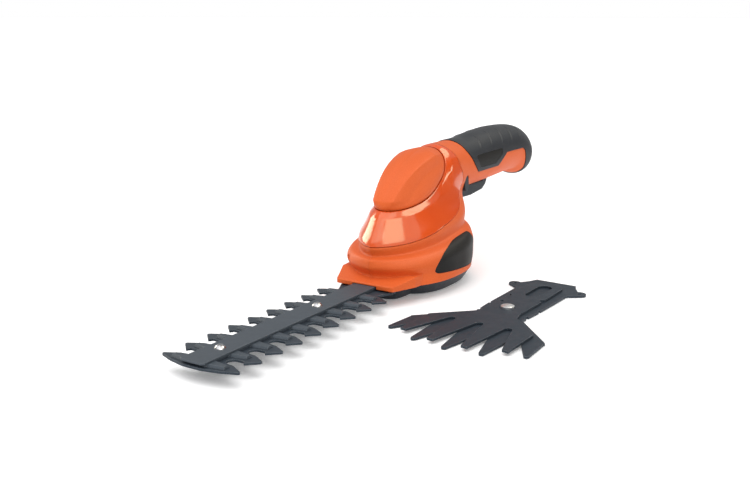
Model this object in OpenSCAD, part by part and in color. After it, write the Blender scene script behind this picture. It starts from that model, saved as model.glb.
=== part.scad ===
// Cordless garden shears: a motor head on a flat base, a rear grip, a fitted hedge blade and a
// loose grass blade. Millimetres. +X points to the blade tip, +Y to the user's left, +Z up.
// The origin lies on the floor, under the drive axis.

/* [Hedge blade] */
// From the drive axis to the front end of the blade
blade_reach = 222; // [185:1:260]
// Width of the comb over its tooth tips
comb_w = 55; // [50:1:62]
// Distance from tooth to tooth
tooth_pitch = 18; // [16:0.5:20]
// Thickness of the comb and of the cutter
blade_t = 1.5; // [1.2:0.1:1.8]
// Width of the flat strip over the cutter
spine_w = 17; // [15:0.5:19]
// Thickness of that strip
spine_t = 1.2; // [1:0.1:1.5]
// Height of the comb's underside over the floor
blade_z = 8.2; // [7:0.1:9]
// Travel of the cutter from end to end
stroke = 8; // [6:0.5:9]

/* [Head] */
// Width over the shoulders
body_w = 80; // [78:1:92]
// From the drive axis to the front of the shoulders
nose_x = 46.5; // [45:0.5:54]
// From the drive axis to the back of the head
tail_x = 61; // [60:0.5:68]
// Width of the glossy cover at its lower edge
cover_w = 59; // [56:1:62]
// Wall of the housing
wall = 2.4; // [2:0.1:2.8]
// Wall of the glossy cover and the dome
skin_t = 1.8; // [1.4:0.1:2.2]
// Height of the housing's lower rim
rim_z = 11; // [10.6:0.1:12]

/* [Handle] */
// From the drive axis to the end of the handle
handle_reach = 195.5; // [170:0.5:225]
// Width of the handle
handle_w = 35.2; // [34:0.2:42]
// Height of the handle's top
handle_top = 101; // [92:0.5:116]
// Depth of the handle from its top to its underside
handle_depth = 41; // [38:0.5:46]
// Thickness of the soft grip above its recess
grip_t = 1.8; // [1.2:0.1:2]

/* [Controls] */
// Width of the trigger
trigger_w = 18; // [14:0.5:20]
// How far the trigger hangs below the handle
trigger_drop = 7.5; // [5:0.5:10]
// Angle through which the trigger turns
trigger_turn = 7; // [4:0.5:8]

/* [Drive] */
// Gear module
gear_module = 0.8; // [0.75:0.05:0.85]
// Teeth of the motor pinion
pinion_teeth = 10; // [10:1:11]
// Teeth of the large idler wheel
idler_wheel_teeth = 36; // [34:1:37]
// Teeth of the small idler pinion
idler_pinion_teeth = 12; // [11:1:13]
// Teeth of the crank gear
crank_teeth = 40; // [39:1:42]
// Diameter of the motor can
motor_d = 27.7; // [24:0.1:27.7]

/* [Grass blade] */
// Radius from the pivot bolt to the comb tips
fan_r = 84; // [80:1:92]
// Distance across from one comb tip to the next
fan_pitch = 23; // [21:0.2:24]
// Width of the grass blade's tail
grass_tail_w = 38; // [36:1:42]
// Where the pivot bolt lies along the tool
grass_x = 22.5; // [15:0.5:35]
// Where the pivot bolt lies across the tool
grass_y = 90.5; // [88:0.5:110]

/* [Fits] */
// Gap between pieces that must not touch
gap = 0.3; // [0.2:0.05:0.4]
// Radial clearance of a turning shaft
running = 0.05; // [0.02:0.01:0.08]

/* [Hidden] */
$fn = 48;

orange = [0.91, 0.36, 0.16];
gloss_orange = [0.90, 0.30, 0.10];
dark_grey = [0.26, 0.28, 0.30];
black = [0.12, 0.12, 0.12];
steel = [0.72, 0.73, 0.75];
blade_grey = [0.28, 0.30, 0.32];
brass = [0.80, 0.66, 0.35];
nylon = [0.90, 0.89, 0.85];
board_green = [0.10, 0.35, 0.18];

big = 400;

// Heights of the head: the handle's underside, the top of the head, and any height between the
// lower rim and the underside, given as it is on a head whose underside lies 49 over its rim

handle_z = handle_top - handle_depth;
head_top = handle_top - 3.5;
function head_z(h) = rim_z + h * (handle_z - rim_z) / 49;

// Height in the handle, given as it is on a handle 41 deep
function grip_z(h) = handle_z + h * handle_depth / 41;

// Heights of the blade stack and the gear case

comb_top = blade_z + blade_t;
cutter_z = comb_top + 0.1;
cutter_top = cutter_z + blade_t;
spine_z = cutter_top + 0.1;
spine_top = spine_z + spine_t;
plate_t = 2.5;
plate_z = spine_top + 1;
gear_z = plate_z + plate_t + 0.8;
gear_t = 5;
wheel_z = gear_z + gear_t + 1.2;
wheel_t = 4;
motor_plate_z = wheel_z + wheel_t + 1.3;
motor_z = motor_plate_z + plate_t;
motor_len = min(handle_top - 41, handle_z) - motor_z + 6;

// Gear centres: crank at the origin, idler to one side, motor back on the centre line

crank_r = gear_module * crank_teeth / 2;
idler_gap = gear_module * (crank_teeth + idler_pinion_teeth) / 2 + 0.05;
motor_gap = gear_module * (pinion_teeth + idler_wheel_teeth) / 2 + 0.05;
idler_bearing = 135;
idler_at = idler_gap * [cos(idler_bearing), sin(idler_bearing)];
motor_bearing = 180 + asin(idler_at.y / motor_gap);
motor_at = idler_at + motor_gap * [cos(motor_bearing), sin(motor_bearing)];
crank_shaft_r = 3;
idler_shaft_r = 2;
motor_shaft_r = 1.15;
bush_r = 5;
crank_throw = stroke / 2;
crank_pin_r = 3.5;
crank_disc_r = crank_throw + crank_pin_r + 1;
post_r = 3;
posts = [[crank_r + 5, 6], [-14, -crank_r - 3], [motor_at.x - 11, 15]];

// Controls and battery inside the handle: two cells fill the length between the socket and the motor

cell_d = 0.449 * handle_depth;
cell_z = (handle_z + handle_top) / 2 - 1.2;
cell_back = 14.5 - handle_reach;
cell_limit = -50.5;
cell_len = (cell_limit - cell_back) / 2 - 0.25;
cell_joint = cell_back + cell_len + 0.25;
cell_front = cell_joint + cell_len + 0.25;
cell_r = cell_d / 2;
pivot_x = -108;
pivot_z = grip_z(5.2);
pin_r = 1.5;
trigger_front = -67;
trigger_back = pivot_x - 4;
trigger_low = handle_z - trigger_drop;
lock_at = [-62, handle_z + 5.6];
lock_size = [6, 12];
lock_bar = [5, 5.4];
spring_r = 2.6;
spring_x = -75;
trigger_top = handle_z + 2;
spring_top = cell_z - cell_r - 0.4;

// Stations of the housing: each is a flat section through the head, then, fanning round the inner
// corner behind the neck, through the handle. Columns: rear or lower point x, z; front or upper
// point x, z; half width; where it is widest; front and rear powers; nose crease.

half_w = body_w / 2;
cover_half = cover_w / 2;
grip_half = handle_w / 2;
elbow_x = 90;
function handle_x(t) = -elbow_x - t * (handle_reach - elbow_x);

stations = [
    [3 - tail_x, rim_z, nose_x - 0.5, rim_z, half_w - 0.4, 0.48, 0.87, 0.9, 3],
    [1.5 - tail_x, head_z(8), nose_x - 2.5, head_z(6), half_w, 0.48, 0.87, 0.9, 3.2],
    [-tail_x, head_z(18.8), nose_x, head_z(12.5), half_w, 0.48, 0.88, 0.9, 3.5],
    [-tail_x, head_z(27.3), nose_x - 0.5, head_z(18), half_w - 3, 0.49, 0.9, 0.87, 3.5],
    [1.5 - tail_x, head_z(31.8), nose_x - 1.3, head_z(20.5), cover_half + 1.5, 0.51, 0.95, 0.8, 3.5],
    [2 - tail_x, head_z(37.3), nose_x - 1.5, head_z(26.3), cover_half, 0.53, 1, 0.72, 3.5],
    [0.5 - tail_x, head_z(42.5), nose_x - 7, head_z(36.5), cover_half - 3.3, 0.54, 1, 0.66, 3],
    [-1.5 - tail_x, head_z(46), nose_x - 13, head_z(47.5), cover_half - 7.3, 0.54, 0.95, 0.64, 2],
    [-4 - tail_x, head_z(48), nose_x - 20.5, head_top - 27.5, cover_half - 9.8, 0.54, 0.9, 0.64, 1],
    [-6 - tail_x, handle_z, nose_x - 30.5, head_top - 16.5, grip_half + 0.9, 0.54, 0.9, 0.66, 0],
    [-8.5 - tail_x, handle_z + 0.5, nose_x - 45.5, head_top - 7.5, grip_half + 0.4, 0.54, 0.9, 0.68, 0],
    [-11.5 - tail_x, handle_z + 0.5, nose_x - 63.5, head_top - 2, grip_half, 0.53, 0.9, 0.7, 0],
    [-16 - tail_x, handle_z + 0.3, nose_x - 84.5, head_top, grip_half - 0.3, 0.52, 0.92, 0.75, 0],
    [8 - elbow_x, handle_z, 33 - elbow_x, head_top, grip_half - 0.5, 0.5, 0.95, 0.8, 0],
    [-elbow_x, handle_z, 15 - elbow_x, grip_z(37.5), grip_half - 0.5, 0.5, 0.95, 0.82, 0],
    [handle_x(0.12), handle_z, handle_x(0.07), grip_z(39.5), grip_half - 0.3, 0.5, 0.95, 0.85, 0],
    [handle_x(0.36), grip_z(1), handle_x(0.34), handle_top, grip_half, 0.5, 0.95, 0.85, 0],
    [handle_x(0.69), grip_z(2.3), handle_x(0.6), grip_z(40.2), grip_half, 0.5, 0.95, 0.9, 0],
    [handle_x(0.77), grip_z(-1.5), handle_x(0.77), grip_z(37.8), grip_half - 0.2, 0.5, 0.95, 0.9, 0],
    [handle_x(0.835), grip_z(-3.4), handle_x(0.9), grip_z(31.5), grip_half - 1, 0.5, 0.95, 0.9, 0],
    [handle_x(0.92), grip_z(1.5), handle_x(0.975), grip_z(22), grip_half - 5, 0.5, 0.95, 0.95, 0],
    [handle_x(0.98), grip_z(8.5), handle_x(1), grip_z(13), grip_half - 13, 0.5, 1, 1, 0],
];
last = len(stations) - 1;

// Borders of the cover and of the dome, in station number and angle round the section: front,
// middle and rear station, greatest angle, power. The dome sits in the cover's bevelled opening.

cover_border = [5, 8, 12, 119, 0.6];
bevel_border = [6.72, 9.3, 11.75, 99, 0.92];
dome_border = [7.2, 9.3, 11.35, 87, 0.92];
bevel_drop = 2.2;
dome_drop = bevel_drop + skin_t + gap;

// Section helpers

function tame(a, b) = a * b <= 0 ? 0 : 2 * a * b / (a + b);

// Smooth run through four values that never overshoots them
function run(a, b, c, d, t) =
    let (m = tame(b - a, c - b), n = tame(c - b, d - c), u = t * t, w = u * t)
    (2 * w - 3 * u + 1) * b + (w - 2 * u + t) * m + (3 * u - 2 * w) * c + (w - u) * n;

function column(i, j) =
    i < 0 ? 2 * stations[0][j] - stations[1][j]
    : i > last ? 2 * stations[last][j] - stations[last - 1][j]
    : stations[i][j];

// Station at any place between two listed ones
function station(v) =
    let (i = min(max(floor(v), 0), last - 1))
    [for (j = [0:8]) run(column(i - 1, j), column(i, j), column(i + 1, j), column(i + 2, j), v - i)];

function away(x) = x < 0 ? -1 : 1;

// Point of a section at an angle from its front, moved in by an inset
function on_section(s, angle, inset = 0) =
    let (dx = s[2] - s[0], dz = s[3] - s[1], reach = norm([dx, dz]), c = cos(angle), n = sin(angle),
         power = c >= 0 ? s[6] : s[7], widest = s[5] * reach, side = pow(abs(n), power),
         plain = c >= 0 ? widest + (reach - widest) * pow(c, power) + s[8] * (1 - side) * (1 - side)
             : widest - widest * pow(-c, power),
         u = inset + plain * (reach - 2 * inset) / reach)
    [s[0] + u * dx / reach, (s[4] - inset) * away(n) * side, s[1] + u * dz / reach];

function ring(s, sides, inset = 0) = [for (j = [0:sides - 1]) on_section(s, 360 * j / sides, inset)];

// Point of a border, drawn in towards its middle by a scale
function border_point(b, a, scale = 1) =
    let (k = pow(abs(cos(a)), b[4]),
         v = cos(a) >= 0 ? b[1] - (b[1] - b[0]) * k : b[1] + (b[2] - b[1]) * k)
    [b[1] + scale * (v - b[1]), scale * b[3] * away(sin(a)) * pow(abs(sin(a)), b[4])];

function on_shell(place, inset) = on_section(station(place[0]), place[1], inset);

function border_ring(b, scale, inset, sides) =
    [for (j = [0:sides - 1]) on_shell(border_point(b, 360 * j / sides, scale), inset)];

function mixed_ring(b, c, t, inset, sides) =
    [for (j = [0:sides - 1])
        on_shell((1 - t) * border_point(b, 360 * j / sides) + t * border_point(c, 360 * j / sides), inset)];

// Closed surface over a run of rings: capped at both ends, or joined into a loop
module skin(rings, joined = false) {
    n = len(rings[0]);
    m = len(rings);
    total = n * m;
    sides = [for (i = [0:m - (joined ? 1 : 2)], j = [0:n - 1])
        let (a = i * n + j, b = i * n + (j + 1) % n)
        each [[a, (a + n) % total, b], [b, (a + n) % total, (b + n) % total]]];
    caps = joined ? [] : [[for (j = [0:n - 1]) j], [for (j = [n - 1:-1:0]) total - n + j]];
    polyhedron([for (r = rings) each r], concat(sides, caps));
}

// Freeform pieces are cut and joined as one mesh
module one_mesh() {
    resize([0, 0, 0]) children();
}

module half_space(side) {
    translate([-big, side > 0 ? 0 : -big, -big]) cube([2 * big, big, 2 * big]);
}

// Outline drawn in the side view, cut through the width
module side_cut(points, round_r = 2, grow = 0) {
    translate([0, big / 2, 0]) rotate([90, 0, 0]) linear_extrude(big)
        offset(r = grow + round_r, $fn = 24) offset(delta = -round_r) polygon(points);
}

module along_y(x, z, r, low, high) {
    translate([x, high, z]) rotate([90, 0, 0]) cylinder(r = r, h = high - low);
}

module along_x(x, y, z, r, h) {
    translate([x, y, z]) rotate([0, 90, 0]) cylinder(r = r, h = h);
}

// Outline mirrored in the X axis, in reverse order
function turned_over(points) = [for (i = [len(points) - 1:-1:0]) [points[i].x, -points[i].y]];

// Domed head of a rivet or bolt
module round_head(r, h) {
    ball_r = (r * r + h * h) / (2 * h);
    intersection() {
        translate([0, 0, h - ball_r]) sphere(ball_r);
        cylinder(r = r + 1, h = h + 1);
    }
}

module stadium(length, r) {
    for (s = [-1, 1]) translate([s * (length / 2 - r), 0]) circle(r);
    square([length - 2 * r, 2 * r], center = true);
}

// Housing

shell_sides = 40;
shell_steps = 2;
core_sides = 24;
core_steps = 1;
small_fn = 16;

module shell(inset = 0, from = 0, to = last, sides = shell_sides, steps = shell_steps) {
    count = ceil((to - from) * steps);
    skin([for (i = [0:count]) ring(station(from + (to - from) * i / count), sides, inset)]);
}

// Coarser copy for surfaces that stay out of sight
module core(inset, from = 0, to = last) {
    shell(inset, from, to, core_sides, core_steps);
}

module cavity() {
    floor_ring = [for (p = ring(station(0), core_sides, wall)) p - [0, 0, wall]];
    count = last - 1;
    skin(concat([floor_ring], [for (i = [0:count]) ring(station(i * 0.994), core_sides, wall)]));
}

// Sloping lip over the root of the blade
lip_x = nose_x + 8.8;
lip_half = 22.4;
lip_t = spine_top - rim_z + 1.6;
lip_rise = 4;
lip_run = 17.5;
lip_back = nose_x - 19;

module across(points) {
    translate([0, big / 2, 0]) rotate([90, 0, 0]) linear_extrude(big) polygon(points);
}

// Its top runs up into the head in a hollow curve
module front_lip() {
    slope = [for (i = [0:8]) let (t = i / 8)
        [lip_x - 0.6 - lip_run * t, rim_z + lip_t + lip_rise * pow(t, 1.35)]];
    side = concat([[lip_x, rim_z], [lip_x, rim_z + lip_t - 0.6]], slope,
        [[lip_back, rim_z + lip_t + lip_rise], [lip_back, rim_z]]);
    flank = [[lip_x, lip_half], [nose_x - 9, lip_half + 7], [lip_back, lip_half + 8]];
    intersection() {
        across(side);
        linear_extrude(rim_z + 10) polygon(concat(flank, turned_over(flank)));
    }
}

module lip_hollow() {
    low = rim_z - wall / 2;
    front = lip_x - wall;
    inner = [[front, low], [front, low + lip_t - 1.2], [nose_x - 14, low + 5], [nose_x - 14, low]];
    flank = [[front, lip_half - wall], [nose_x - 14, lip_half + 4]];
    intersection() {
        across(inner);
        linear_extrude(rim_z + 10) polygon(concat(flank, turned_over(flank)));
    }
}

blade_slot_w = 28;

module blade_slot() {
    translate([nose_x - 16, -blade_slot_w / 2, 0]) cube([60, blade_slot_w, spine_top + gap]);
}

// Screws that hold the two halves, put in from the right
screw_places = [[nose_x - 9, head_z(13)], [10 - tail_x, head_z(14)], [12.5 - tail_x, handle_z + 2],
    [trigger_back - 9.6, grip_z(5.6)], [handle_x(0.755), grip_z(3.4)]];
boss_r = 3.1;
screw_r = 1.4;
screw_head_r = 2.6;
screw_head_t = 2;
screw_reach = 9;
screw_head_y = 7;

module screw_bosses() {
    intersection() {
        core(wall / 2);
        for (p = screw_places) along_y(p.x, p.y, boss_r, -half_w, half_w, $fn = small_fn);
    }
}

module screw_holes() {
    for (p = screw_places) {
        along_y(p.x, p.y, screw_r + gap, -half_w, screw_reach + 1, $fn = small_fn);
        along_y(p.x, p.y, screw_head_r + gap, -half_w - 10, -screw_head_y, $fn = small_fn);
    }
}

module housing_screws() {
    color(steel) for (p = screw_places) {
        along_y(p.x, p.y, screw_r, -screw_head_y - 0.5, screw_reach);
        along_y(p.x, p.y, screw_head_r, -screw_head_y - screw_head_t, -screw_head_y);
    }
}

// Ribs that cradle the cells, and ledges that carry the gear plate
rib_t = 1.6;
rib_places = [cell_front - 24, cell_joint - 14, cell_back + 18];
ledge_h = 2;

module inner_ribs() {
    intersection() {
        core(wall / 2);
        difference() {
            union() {
                for (x = rib_places)
                    translate([x - rib_t / 2, -half_w, cell_z]) cube([rib_t, body_w, handle_depth]);
                for (s = [-1, 1])
                    translate([-20, s * half_w - 6, plate_z - ledge_h - gap]) cube([30, 12, ledge_h]);
            }
            along_x(cell_back - 5, 0, cell_z, cell_r + 2 * gap, 2 * cell_len + 10, $fn = 32);
        }
    }
}

// Opening for the cover: a rebate for its edge and a way through inside it
module cover_plug(border, depth) {
    sides = 48;
    skin([border_ring(border, 0.03, depth, sides), border_ring(border, 0.5, depth, sides),
        border_ring(border, 1, depth, sides), border_ring(border, 1, -4, sides),
        border_ring(border, 0.5, -4, sides), border_ring(border, 0.03, -4, sides)]);
}

module cover_opening() {
    cover_plug(cover_border + [-0.035, 0, 0.025, 1, 0], skin_t + gap);
    cover_plug(cover_border + [0.3, 0, -0.22, -9, 0], 3 * wall + 2);
}

// Soft grip over the top and the end of the handle
grip_outline = [[-60, handle_top + 20], [-60, grip_z(38)], [-64, grip_z(30)], [-73, grip_z(19)],
    [-80, grip_z(12.3)], [handle_x(0.237), grip_z(12.3)], [handle_x(0.37), grip_z(21.7)],
    [handle_x(0.68), grip_z(21.5)], [handle_x(0.72), grip_z(19)], [handle_x(0.8), grip_z(3)],
    [handle_x(0.84), handle_z - 20], [-handle_reach - 20, handle_z - 20],
    [-handle_reach - 20, handle_top + 20]];
grip_proud = 0.6;
plate_outline = [[-75.5, grip_z(25.2)], [handle_x(0.295), grip_z(26)], [handle_x(0.285), grip_z(21)],
    [handle_x(0.185), grip_z(15.4)], [-82.5, grip_z(15.4)]];
plate_sink = 0.9;
plate_skin = 0.7;
rib_height = 0.4;
rib_width = 1.1;
rib_start = -86;
rib_step = 0.17 * (handle_reach - elbow_x);
rib_count = 5;

module grip_recess() {
    difference() {
        side_cut(grip_outline, 2.5, gap / 2);
        core(grip_t - grip_proud, from = 12, to = last - 0.3);
    }
}

// Fine raised lines across the top of the grip
module grip_lines() {
    intersection() {
        difference() {
            core(-grip_proud - rib_height, from = 13, to = last - 1);
            core(grip_t / 2 - grip_proud, from = 12);
        }
        for (i = [0:rib_count - 1]) translate([rib_start - i * rib_step, -20, handle_top - 13])
            rotate([0, -28, 0]) cube([rib_width, 40, 30]);
    }
}

module grip(side) {
    color(dark_grey) one_mesh() intersection() {
        half_space(side);
        difference() {
            union() {
                intersection() {
                    difference() {
                        shell(-grip_proud, from = 12);
                        core(grip_t - grip_proud - 0.02, from = 12, to = last - 0.3);
                    }
                    side_cut(grip_outline, 2.5);
                }
                grip_lines();
            }
            plate_recess();
            socket_hole();
        }
    }
}

module left_grip() { grip(1); }

module right_grip() { grip(-1); }

module plate_recess() {
    difference() {
        side_cut(plate_outline, 1.2, gap / 2);
        core(plate_sink - grip_proud, from = 12);
    }
}

module side_plate(side) {
    color(black) one_mesh() intersection() {
        half_space(side);
        difference() {
            core(plate_sink - grip_proud - plate_skin, from = 12, to = 18);
            core(plate_sink - grip_proud - 0.02, from = 12, to = 18);
        }
        side_cut(plate_outline, 1.2);
        translate([0, side * 20, 0]) cube([big, 20, big], center = true);
    }
}

module left_side_plate() { side_plate(1); }

module right_side_plate() { side_plate(-1); }

// Bare panels on the flanks of the head
badge_outline = [[-29, head_z(27.3)], [-13, head_z(26.4)], [3, head_z(24)], [17, head_z(19.5)],
    [27, head_z(13.5)], [28.5, head_z(10.5)], [25, head_z(7.8)], [-38, head_z(3.2)], [-42, head_z(17)]];
badge_sink = 1.2;

module badge_recess() {
    difference() {
        side_cut(badge_outline, 3, gap / 2);
        core(badge_sink, to = 6);
        cube([big, 50, big], center = true);
    }
}

module badge_panel(side) {
    color(black) one_mesh() intersection() {
        half_space(side);
        difference() {
            shell(0, to = 6);
            core(badge_sink - 0.02, to = 6);
            cube([big, 50, big], center = true);
        }
        side_cut(badge_outline, 3);
    }
}

module left_badge_panel() { badge_panel(1); }

module right_badge_panel() { badge_panel(-1); }

trigger_slot_w = trigger_w + 4 * gap;

module trigger_slot() {
    translate([trigger_back - 1.5, -trigger_slot_w / 2, handle_z - 20])
        cube([trigger_front - trigger_back + 3.5, trigger_slot_w, 29.5]);
    along_y(pivot_x, pivot_z, pin_r + 0.1, -trigger_w / 2 - 3, trigger_w / 2 + 3, $fn = small_fn);
}

module lock_shape(grow) {
    scale([lock_size.x / 2 + grow, lock_size.y / 2 + grow]) circle(1, $fn = 28);
}

module lock_window() {
    translate([lock_at.x, big / 2, lock_at.y]) rotate([90, 0, 0]) linear_extrude(big) lock_shape(gap + 0.2);
}

// Shallow oval pocket round each end of the button
module lock_dish() {
    for (s = [-1, 1]) translate([lock_at.x, s * (grip_half + 1.6), lock_at.y])
        scale([lock_size.x / 2 + 3.2, 3.4, lock_size.y / 2 + 2.9]) sphere(1, $fn = 20);
}

socket_z = handle_z + 12.5;
socket_r = 2.75;
socket_len = 9;
socket_tube_r = 4.6;
socket_mouth = 2.2 - handle_reach;
socket_neck = 0.057 * (handle_reach - elbow_x);

module socket_hole() {
    along_x(-handle_reach - 20, 0, socket_z, socket_tube_r + gap, 40, $fn = 24);
}

module housing(side) {
    color(orange) one_mesh() intersection() {
        half_space(side);
        difference() {
            union() {
                difference() {
                    union() {
                        shell();
                        front_lip();
                    }
                    cavity();
                    lip_hollow();
                }
                screw_bosses();
                inner_ribs();
                pin_bosses();
            }
            cover_opening();
            grip_recess();
            badge_recess();
            trigger_slot();
            lock_window();
            lock_dish();
            socket_hole();
            blade_slot();
            screw_holes();
        }
    }
}

module pin_bosses() {
    intersection() {
        core(wall / 2);
        along_y(pivot_x, pivot_z, pin_r + 1.6, -half_w, half_w, $fn = small_fn);
    }
}

module left_housing() { housing(1); }

module right_housing() { housing(-1); }

// Glossy cover with a bevelled opening, and the dome that stands in it

panel_sides = 48;

module front_cover() {
    spread = [0, 0.12, 0.3, 0.5, 0.7, 0.88, 1];
    bevel_foot = bevel_border + [0.42, 0, -0.35, -10, 0];
    color(gloss_orange) skin(concat(
        [mixed_ring(cover_border, bevel_foot, 1, bevel_drop + skin_t, panel_sides)],
        [for (i = [len(spread) - 1:-1:0]) if (i % 2 == 0)
            mixed_ring(cover_border, bevel_border, spread[i], skin_t, panel_sides)],
        [for (t = spread) mixed_ring(cover_border, bevel_border, t, 0, panel_sides)],
        [mixed_ring(cover_border, bevel_foot, 1, bevel_drop, panel_sides)]), joined = true);
}

// Soft ridge that runs from the dome's front up to its rear top
ridge_height = 1.8;
ridge_spread = 34;

function ridge(place) =
    let (line = 22 + 9.4 * (place[0] - 7.3), off = abs(abs(place[1]) - line) / ridge_spread)
    ridge_height * pow(max(0, 1 - off), 1.3);

function dome_ring(scale, inset, sides) =
    [for (j = [0:sides - 1])
        let (place = border_point(dome_border, 360 * j / sides, scale),
             lift = ridge(place) * min(1, max(0, (0.94 - scale) / 0.2)))
        on_shell(place, inset - lift)];

module top_dome() {
    sides = 44;
    flange = 1.07;
    inner = [[0.04, skin_t], [0.4, skin_t], [0.8, skin_t + 0.4], [0.93, dome_drop],
        [flange, dome_drop + skin_t]];
    outer = [[flange, dome_drop], [0.97, dome_drop], [0.955, bevel_drop], [0.93, 1.4], [0.89, 0.5],
        [0.82, 0.1], [0.66, 0], [0.48, 0], [0.28, 0], [0.04, 0]];
    color(orange) skin(concat(
        [for (p = inner) border_ring(dome_border, p[0], p[1], sides)],
        [for (p = outer) dome_ring(p[0], p[1], sides)]));
}

// Base cover: a shallow tray under the head that carries the blade

tray_t = 2.2;
tray_top = rim_z - gap;
tray_half = half_w - 2.2;
tray_taper = 7.4;
tray_back = 4 - tail_x;
tray_shoulder = nose_x - 13;
tray_front = nose_x - 1.5;
tray_front_half = lip_half - 1.2;

function tray_ring(z, inset) =
    let (t = 1 - max(z, 0) / tray_top, chamfer = z <= 0 ? 1.2 : 0)
    ring([tray_back + 4 * t + inset + chamfer, z, tray_shoulder - 9 * t - inset - chamfer, z,
        tray_half - tray_taper * t - inset - chamfer, 0.5, 0.76, 0.8, 0], 48);

function nose_ring(z, inset) =
    let (t = 1 - max(z, 0) / tray_top, chamfer = z <= 0 ? 1.2 : 0)
    ring([-20, z, tray_front - 3.4 * t - inset - chamfer, z,
        tray_front_half - 4.6 * t - inset - chamfer, 0.6, 0.5, 0.5, 0], 40);

pad_half = 10;
peg_r = 2.2;
peg_x = [nose_x - 8, -15.5];

module base_cover() {
    heights = [0, 1.2, tray_top];
    hollow = [tray_t, tray_top + 1];
    color(dark_grey) one_mesh() union() {
        difference() {
            union() {
                skin([for (z = heights) tray_ring(z, 0)]);
                skin([for (z = heights) nose_ring(z, 0)]);
            }
            skin([for (z = hollow) tray_ring(z, tray_t)]);
            skin([for (z = hollow) nose_ring(z, tray_t)]);
            translate([nose_x - 16, -blade_slot_w / 2, blade_z]) cube([60, blade_slot_w, 20]);
        }
        for (s = [-1, 1]) translate([-22, s * pad_half - 1, tray_t - 0.5])
            cube([nose_x + 10, 2, blade_z - tray_t + 0.5]);
        for (x = peg_x) translate([x, 0, tray_t - 0.5]) {
            cylinder(r = peg_r + 1, h = blade_z - tray_t + 0.5, $fn = 24);
            cylinder(r = peg_r, h = comb_top - tray_t + 0.4, $fn = 24);
        }
    }
}

// Hedge blade

tip_inset = 7;
first_tooth = blade_reach - tip_inset;
comb_half = comb_w / 2;
blade_tail = -20;
tail_half = 13;
flare_half = 20.5;
gap_root = 11;
gap_r = 3.6;
tooth_count = 1 + round((first_tooth - nose_x - 24.5) / tooth_pitch);
function tooth_x(i) = first_tooth - i * tooth_pitch;

// One flank of the comb from the front tip to the tail, on the left side
function comb_gap(i) =
    let (x = tooth_x(i), mid = x - tooth_pitch / 2 - 0.6, y = gap_root + gap_r)
    concat([[x - 0.9, comb_half - 0.4], [x - 5.4, comb_half - 8.6]],
        [for (a = [0:-20:-180]) [mid + gap_r * cos(a), y + gap_r * sin(a)]],
        [[x - tooth_pitch + 4.6, comb_half - 8.6], [x - tooth_pitch + 7, comb_half - 6.8],
         [x - tooth_pitch + 0.9, comb_half - 0.4], [x - tooth_pitch, comb_half]]);

function comb_flank() =
    concat([[blade_reach, 6], [blade_reach - 2.5, comb_half - 10], [first_tooth + 0.9, comb_half - 0.6],
            [first_tooth, comb_half]],
        [for (i = [0:tooth_count - 2]) each comb_gap(i)],
        let (x = tooth_x(tooth_count - 1))
        [[x - 0.9, comb_half - 0.4], [x - 5.4, comb_half - 8.6], [x - 7, flare_half - 5.5],
         [nose_x + 6, flare_half], [nose_x + 1, flare_half], [nose_x + 1, tail_half],
         [blade_tail + 3, tail_half], [blade_tail, tail_half - 3]]);

rivet_r = 2;
rivet_x = [tooth_x(1) + 2, tooth_x(tooth_count - 3) + 2];

module hedge_comb() {
    flank = comb_flank();
    color(blade_grey) difference() {
        translate([0, 0, blade_z]) linear_extrude(blade_t) polygon(concat(flank, turned_over(flank)));
        for (x = rivet_x) translate([x, 0, 0]) cylinder(r = rivet_r + 0.02, h = 40);
        for (x = peg_x) translate([x, 0, 0]) cylinder(r = peg_r + gap, h = 40);
    }
}

// Cutter tooth with ground flanks
cut_root = 4.7;
cut_tip = 2.45;
cut_out = comb_half - 8.6;
grind = 1.3;

module cutter_tooth(side) {
    base = spine_w / 2 - 3;
    low = [[-cut_root, base], [cut_root, base], [cut_tip, cut_out], [-cut_tip, cut_out]];
    high = [[grind - cut_root, base], [cut_root - grind, base], [cut_tip - grind, cut_out - 0.6],
        [grind - cut_tip, cut_out - 0.6]];
    points = concat([for (p = low) [p.x, p.y, 0]], [for (p = high) [p.x, p.y, blade_t]]);
    mirror([0, side < 0 ? 1 : 0, 0]) polyhedron(points,
        [[0, 1, 2, 3], [7, 6, 5, 4], [0, 4, 5, 1], [1, 5, 6, 2], [2, 6, 7, 3], [3, 7, 4, 0]]);
}

cutter_half = spine_w / 2 - 0.5;
yoke_half = crank_throw + crank_pin_r + 0.5;
yoke_len = 2 * (crank_throw + crank_pin_r + stroke / 2 + 0.5);
yoke_rim = 4;

module hedge_cutter() {
    front = first_tooth + cut_root;
    slot_len = 2 * rivet_r + stroke + 1;
    color(blade_grey) translate([0, 0, cutter_z]) {
        linear_extrude(blade_t) difference() {
            union() {
                translate([0, -cutter_half]) square([front, 2 * cutter_half]);
                square([yoke_len + 2 * yoke_rim, 2 * (yoke_half + yoke_rim)], center = true);
            }
            square([yoke_len, 2 * yoke_half], center = true);
            for (x = rivet_x) translate([x, 0]) stadium(slot_len, rivet_r + gap);
        }
        for (i = [0:tooth_count - 1], s = [-1, 1]) translate([tooth_x(i), 0, 0]) cutter_tooth(s);
    }
}

spine_back = yoke_len / 2 + yoke_rim + stroke / 2 + 1;

module hedge_spine() {
    half = spine_w / 2;
    color(blade_grey) translate([0, 0, spine_z]) linear_extrude(spine_t) difference() {
        polygon([[spine_back, -half], [blade_reach - 1.5, -half], [blade_reach, 1.5 - half],
            [blade_reach, half - 1.5], [blade_reach - 1.5, half], [spine_back, half]]);
        for (x = rivet_x) translate([x, 0]) circle(rivet_r + 0.02);
    }
}

rivet_head_r = 3.3;
rivet_head_h = 2.2;

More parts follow.
